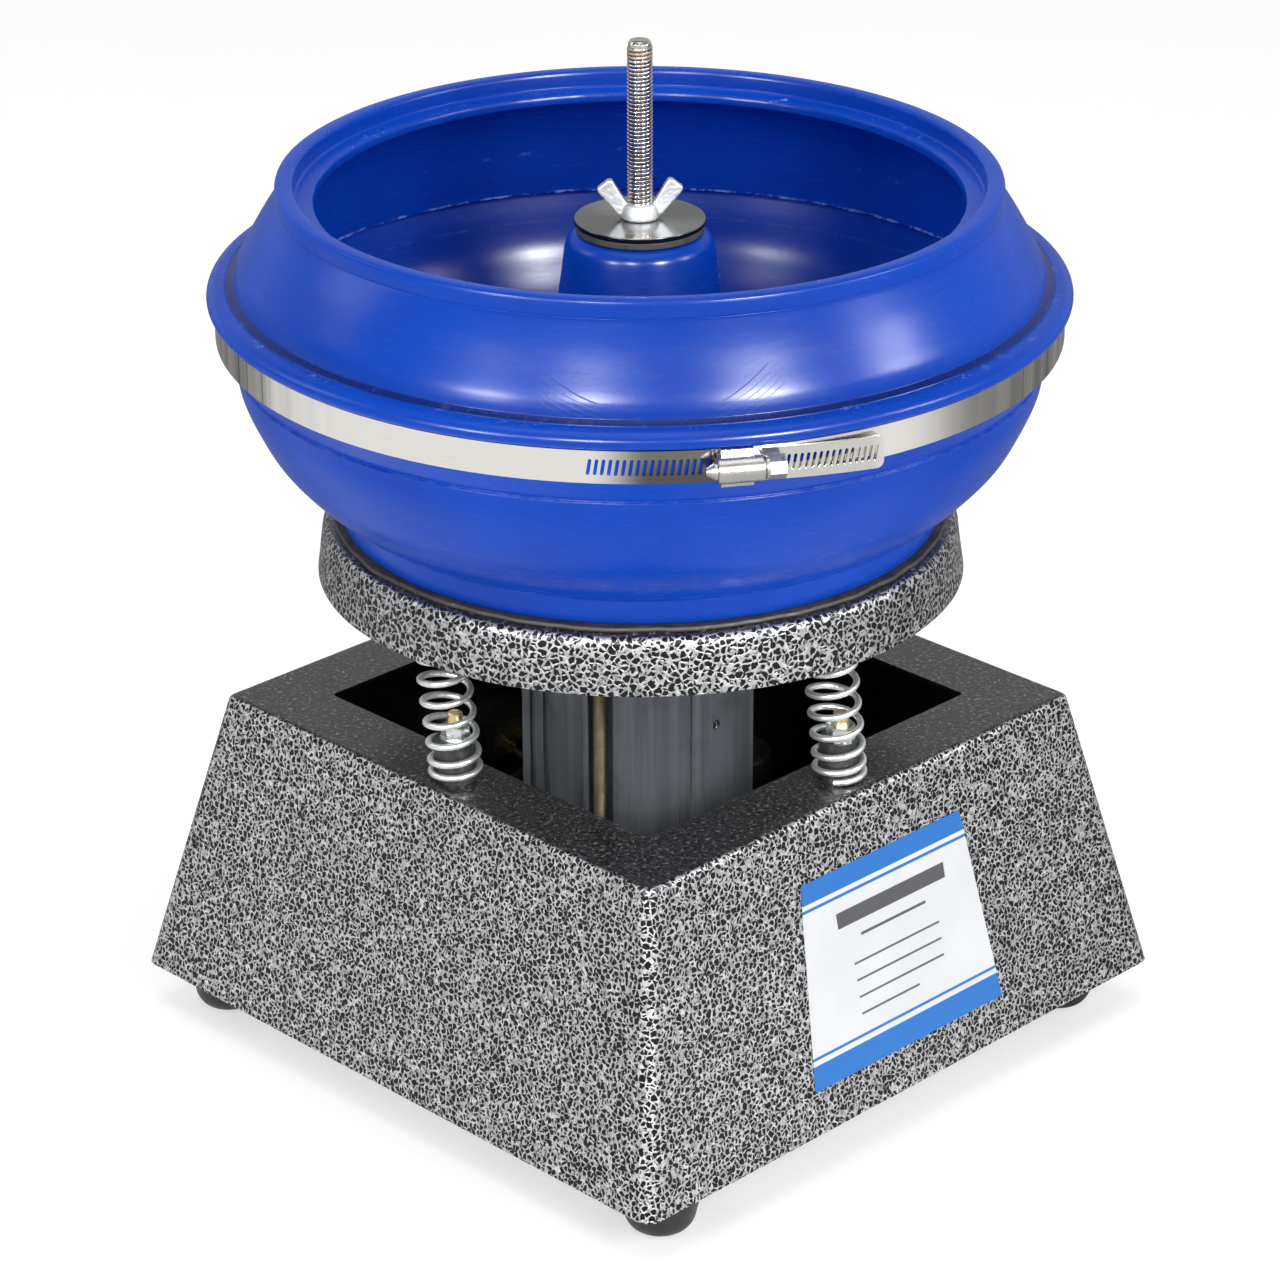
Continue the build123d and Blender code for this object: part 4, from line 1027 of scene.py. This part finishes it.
# (turns from the bottom, z)
COIL_Z = [(0.0, 143.85), (0.8, 146.9), (1.8, 153.0), (2.8, 161.2), (3.8, 170.1),
          (4.8, 179.3), (5.8, 188.6), (6.8, 197.8), (7.8, 206.6), (8.8, 214.4),
          (9.6, 219.0), (10.4, 222.35)]
# (z, sideways shift of the coil's centre) and the direction of the shift
LEAN = [(142.3, 0.0), (159.3, 1.2), (175.0, 2.9), (190.0, 4.2), (205.0, 4.3),
        (215.0, 3.6), (224.0, 2.83)]
LEAN_DIR = (-0.7025, 0.7116)
# name, direction from the base centre, start angle of the wire in degrees
SPRINGS = [("left", -1, 0, -5.0), ("front", 0, -1, 208.7), ("right", 1, 0, 120.0),
           ("back", 0, 1, 300.0)]


def spring(name, centre_x, centre_y, start):
    points = []
    for i in range(COIL_SAMPLES + 1):
        turn = COIL_Z[-1][0] * i / COIL_SAMPLES
        z = hermite(COIL_Z, turn)
        shift = hermite(LEAN, min(max(z, LEAN[0][0]), LEAN[-1][0]))
        angle = math.radians(start + 360 * turn)
        points.append((centre_x + shift * LEAN_DIR[0] + COIL_R * math.cos(angle),
                       centre_y + shift * LEAN_DIR[1] + COIL_R * math.sin(angle), z))
    return wire(name, points, WIRE_R, 18, MATERIALS["spring_wire"])


for index, (side, dir_x, dir_y, start) in enumerate(SPRINGS):
    coil = spring("spring_" + side, BASE_X + SPRING_OUT * dir_x, BASE_Y + SPRING_OUT * dir_y,
                  start)
    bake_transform(coil)
    if index == 0:
        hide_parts("support_springs")

# ------------------------------------------------------------------ camera
CAMERA_AT = (-1.17518411, -1.17895939, 0.93059993)
FORWARD = Vector((0.64723041, 0.63818483, -0.41690878)).normalized()
RIGHT = Vector((0.70253776, -0.71164528, 0.00130143)).normalized()
UP = Vector((0.29586061, 0.29373648, 0.9089474)).normalized()

camera_data = bpy.data.cameras.new("camera")
camera = bpy.data.objects.new("camera", camera_data)
bpy.context.scene.collection.objects.link(camera)
pose = Matrix.Identity(4)
for i in range(3):
    pose[i] = (RIGHT[i], UP[i], -FORWARD[i], CAMERA_AT[i])
camera.matrix_world = pose
camera_data.sensor_width = 36.0
camera_data.lens = 126.33238125
camera_data.shift_x = -0.028315625
camera_data.shift_y = -0.000715625
camera_data.clip_start = 0.05
camera_data.clip_end = 30
bpy.context.scene.camera = camera

# ------------------------------------------------------------------ floor
# Level heading away from the camera, turned about 15 degrees to the right
AWAY = (Vector((FORWARD.x, FORWARD.y)).normalized() * 0.966
        + Vector((RIGHT.x, RIGHT.y)).normalized() * 0.259)


def facing(graph, x, y):
    """1 towards the camera side, 0 behind the object, from a level place or direction."""
    along = (x * AWAY.x + y * AWAY.y) * -1.0
    return (along / (graph.length_xy(x, y) + 1e-4)).step(zero=-0.32, one=0.14)


def pale_floor():
    """Pale floor; reflections see a plain glow that is darker behind the object."""
    m = Material("pale_floor")
    m.set(Base_Color=m.noise(scale=3.0, detail=3.0).ramp((0.3, 0.64), (0.7, 0.66)),
          Roughness=0.6, Specular_IOR_Level=0.2,
          Emission_Color=(1.0, 1.0, 1.0, 1.0), Emission_Strength=0.54)
    x, y, _ = m.xyz()
    tint = facing(m, x, y).ramp((0.0, 0.26), (1.0, 0.86))
    glow = m.signal("ShaderNodeEmission", {"Color": tint, "Strength": 1.0})
    glossy = m.signal("ShaderNodeLightPath", output="Is Glossy Ray")
    body = Signal(m, m.shader.outputs[0])
    m.feed(m.surface, m.signal("ShaderNodeMixShader", {0: glossy, 1: body, 2: glow}))
    return m.material


floor_mesh = bmesh.new()
floor_mat = pale_floor()
bmesh.ops.create_grid(floor_mesh, x_segments=8, y_segments=8, size=12.0)
finish_mesh(floor_mesh, "floor", floor_mat)

# ------------------------------------------------------------------ lights
AIM_Z = 0.33                    # height the softboxes point at


def area(name, place, target, size, power):
    light = bpy.data.lights.new(name, "AREA")
    light.shape = "RECTANGLE"
    light.size, light.size_y = size
    light.energy = power
    ob = bpy.data.objects.new(name, light)
    bpy.context.scene.collection.objects.link(ob)
    ob.location = place
    ob.rotation_euler = (Vector(target) - Vector(place)).to_track_quat("-Z", "Y").to_euler()
    return ob


def softbox(name, azimuth, elevation, distance, size, radiance, gloss_only):
    turn, rise = math.radians(azimuth), math.radians(elevation)
    ahead = Vector((FORWARD.x, FORWARD.y, 0)).normalized()
    right = Vector((RIGHT.x, RIGHT.y, 0)).normalized()
    level = math.cos(rise)
    place = (right * (math.sin(turn) * level * distance)
             + Vector((0, 0, math.sin(rise) * distance + AIM_Z))
             - ahead * (math.cos(turn) * level * distance))
    power = radiance * math.pi * size[0] * size[1]
    ob = area(name, place, (0, 0, AIM_Z), size, power)
    if gloss_only:
        ob.visible_diffuse = False


# name, degrees right of the camera, degrees up, distance, size, radiance, gloss only
SOFTBOXES = [
    ("fill_left", -42, 24, 1.7, (0.34, 0.50), 8.0, False),
    ("fill_right", 30, 22, 1.7, (0.36, 0.50), 12.0, False),
    ("fill_far_right", 74, 26, 1.7, (0.34, 0.55), 8.0, False),
    ("fill_far_left", -98, 30, 1.7, (0.50, 0.70), 3.6, False),
    ("sheen_left", -41, 18, 1.9, (0.30, 0.26), 108.0, True),
    ("sheen_mid", -13.5, 26, 1.9, (0.24, 0.26), 225.0, True),
    ("sheen_right", 34, 24, 1.9, (0.30, 0.28), 290.0, True),
    ("sheen_far_right", 76, 20, 1.9, (0.40, 0.32), 38.0, True),
]
for row in SOFTBOXES:
    softbox(*row)
area("top", place=(0, 0, 2.3), target=(0, 0, 0.2), size=(1.5, 1.5), power=14)


# ------------------------------------------------------------------ world
def studio():
    """Pale surroundings; reflections see them brighter behind the object than in front."""
    world = bpy.data.worlds.new("studio")
    bpy.context.scene.world = world
    world.use_nodes = True
    sky = Graph(world.node_tree, "Generated")
    x, y, z = sky.xyz()
    plain = z.remap(gain=0.5, base=0.5).ramp((0.46, (0.95, 0.95, 0.95)),
                                             (1.0, (0.85, 0.86, 0.88)))
    plain = sky.mix(plain, plain, amount=0.0)
    mirrored = facing(sky, x, y).ramp((0.0, 1.05), (1.0, 0.42))
    overhead = z.step(zero=0.50, one=0.68)
    mirrored = sky.mix(mirrored, over=(0.40, 0.40, 0.42), amount=overhead)
    rays = sky.node("ShaderNodeLightPath").outputs
    glossy = Signal(sky, rays["Is Glossy Ray"])
    seen = Signal(sky, rays["Is Camera Ray"])
    background = world.node_tree.nodes["Background"]
    sky.feed(background.inputs[0], sky.mix(plain, mirrored, amount=glossy))
    sky.feed(background.inputs[1], seen.remap(gain=0.60, base=0.50))


studio()
bpy.context.scene.view_settings.view_transform = "Standard"
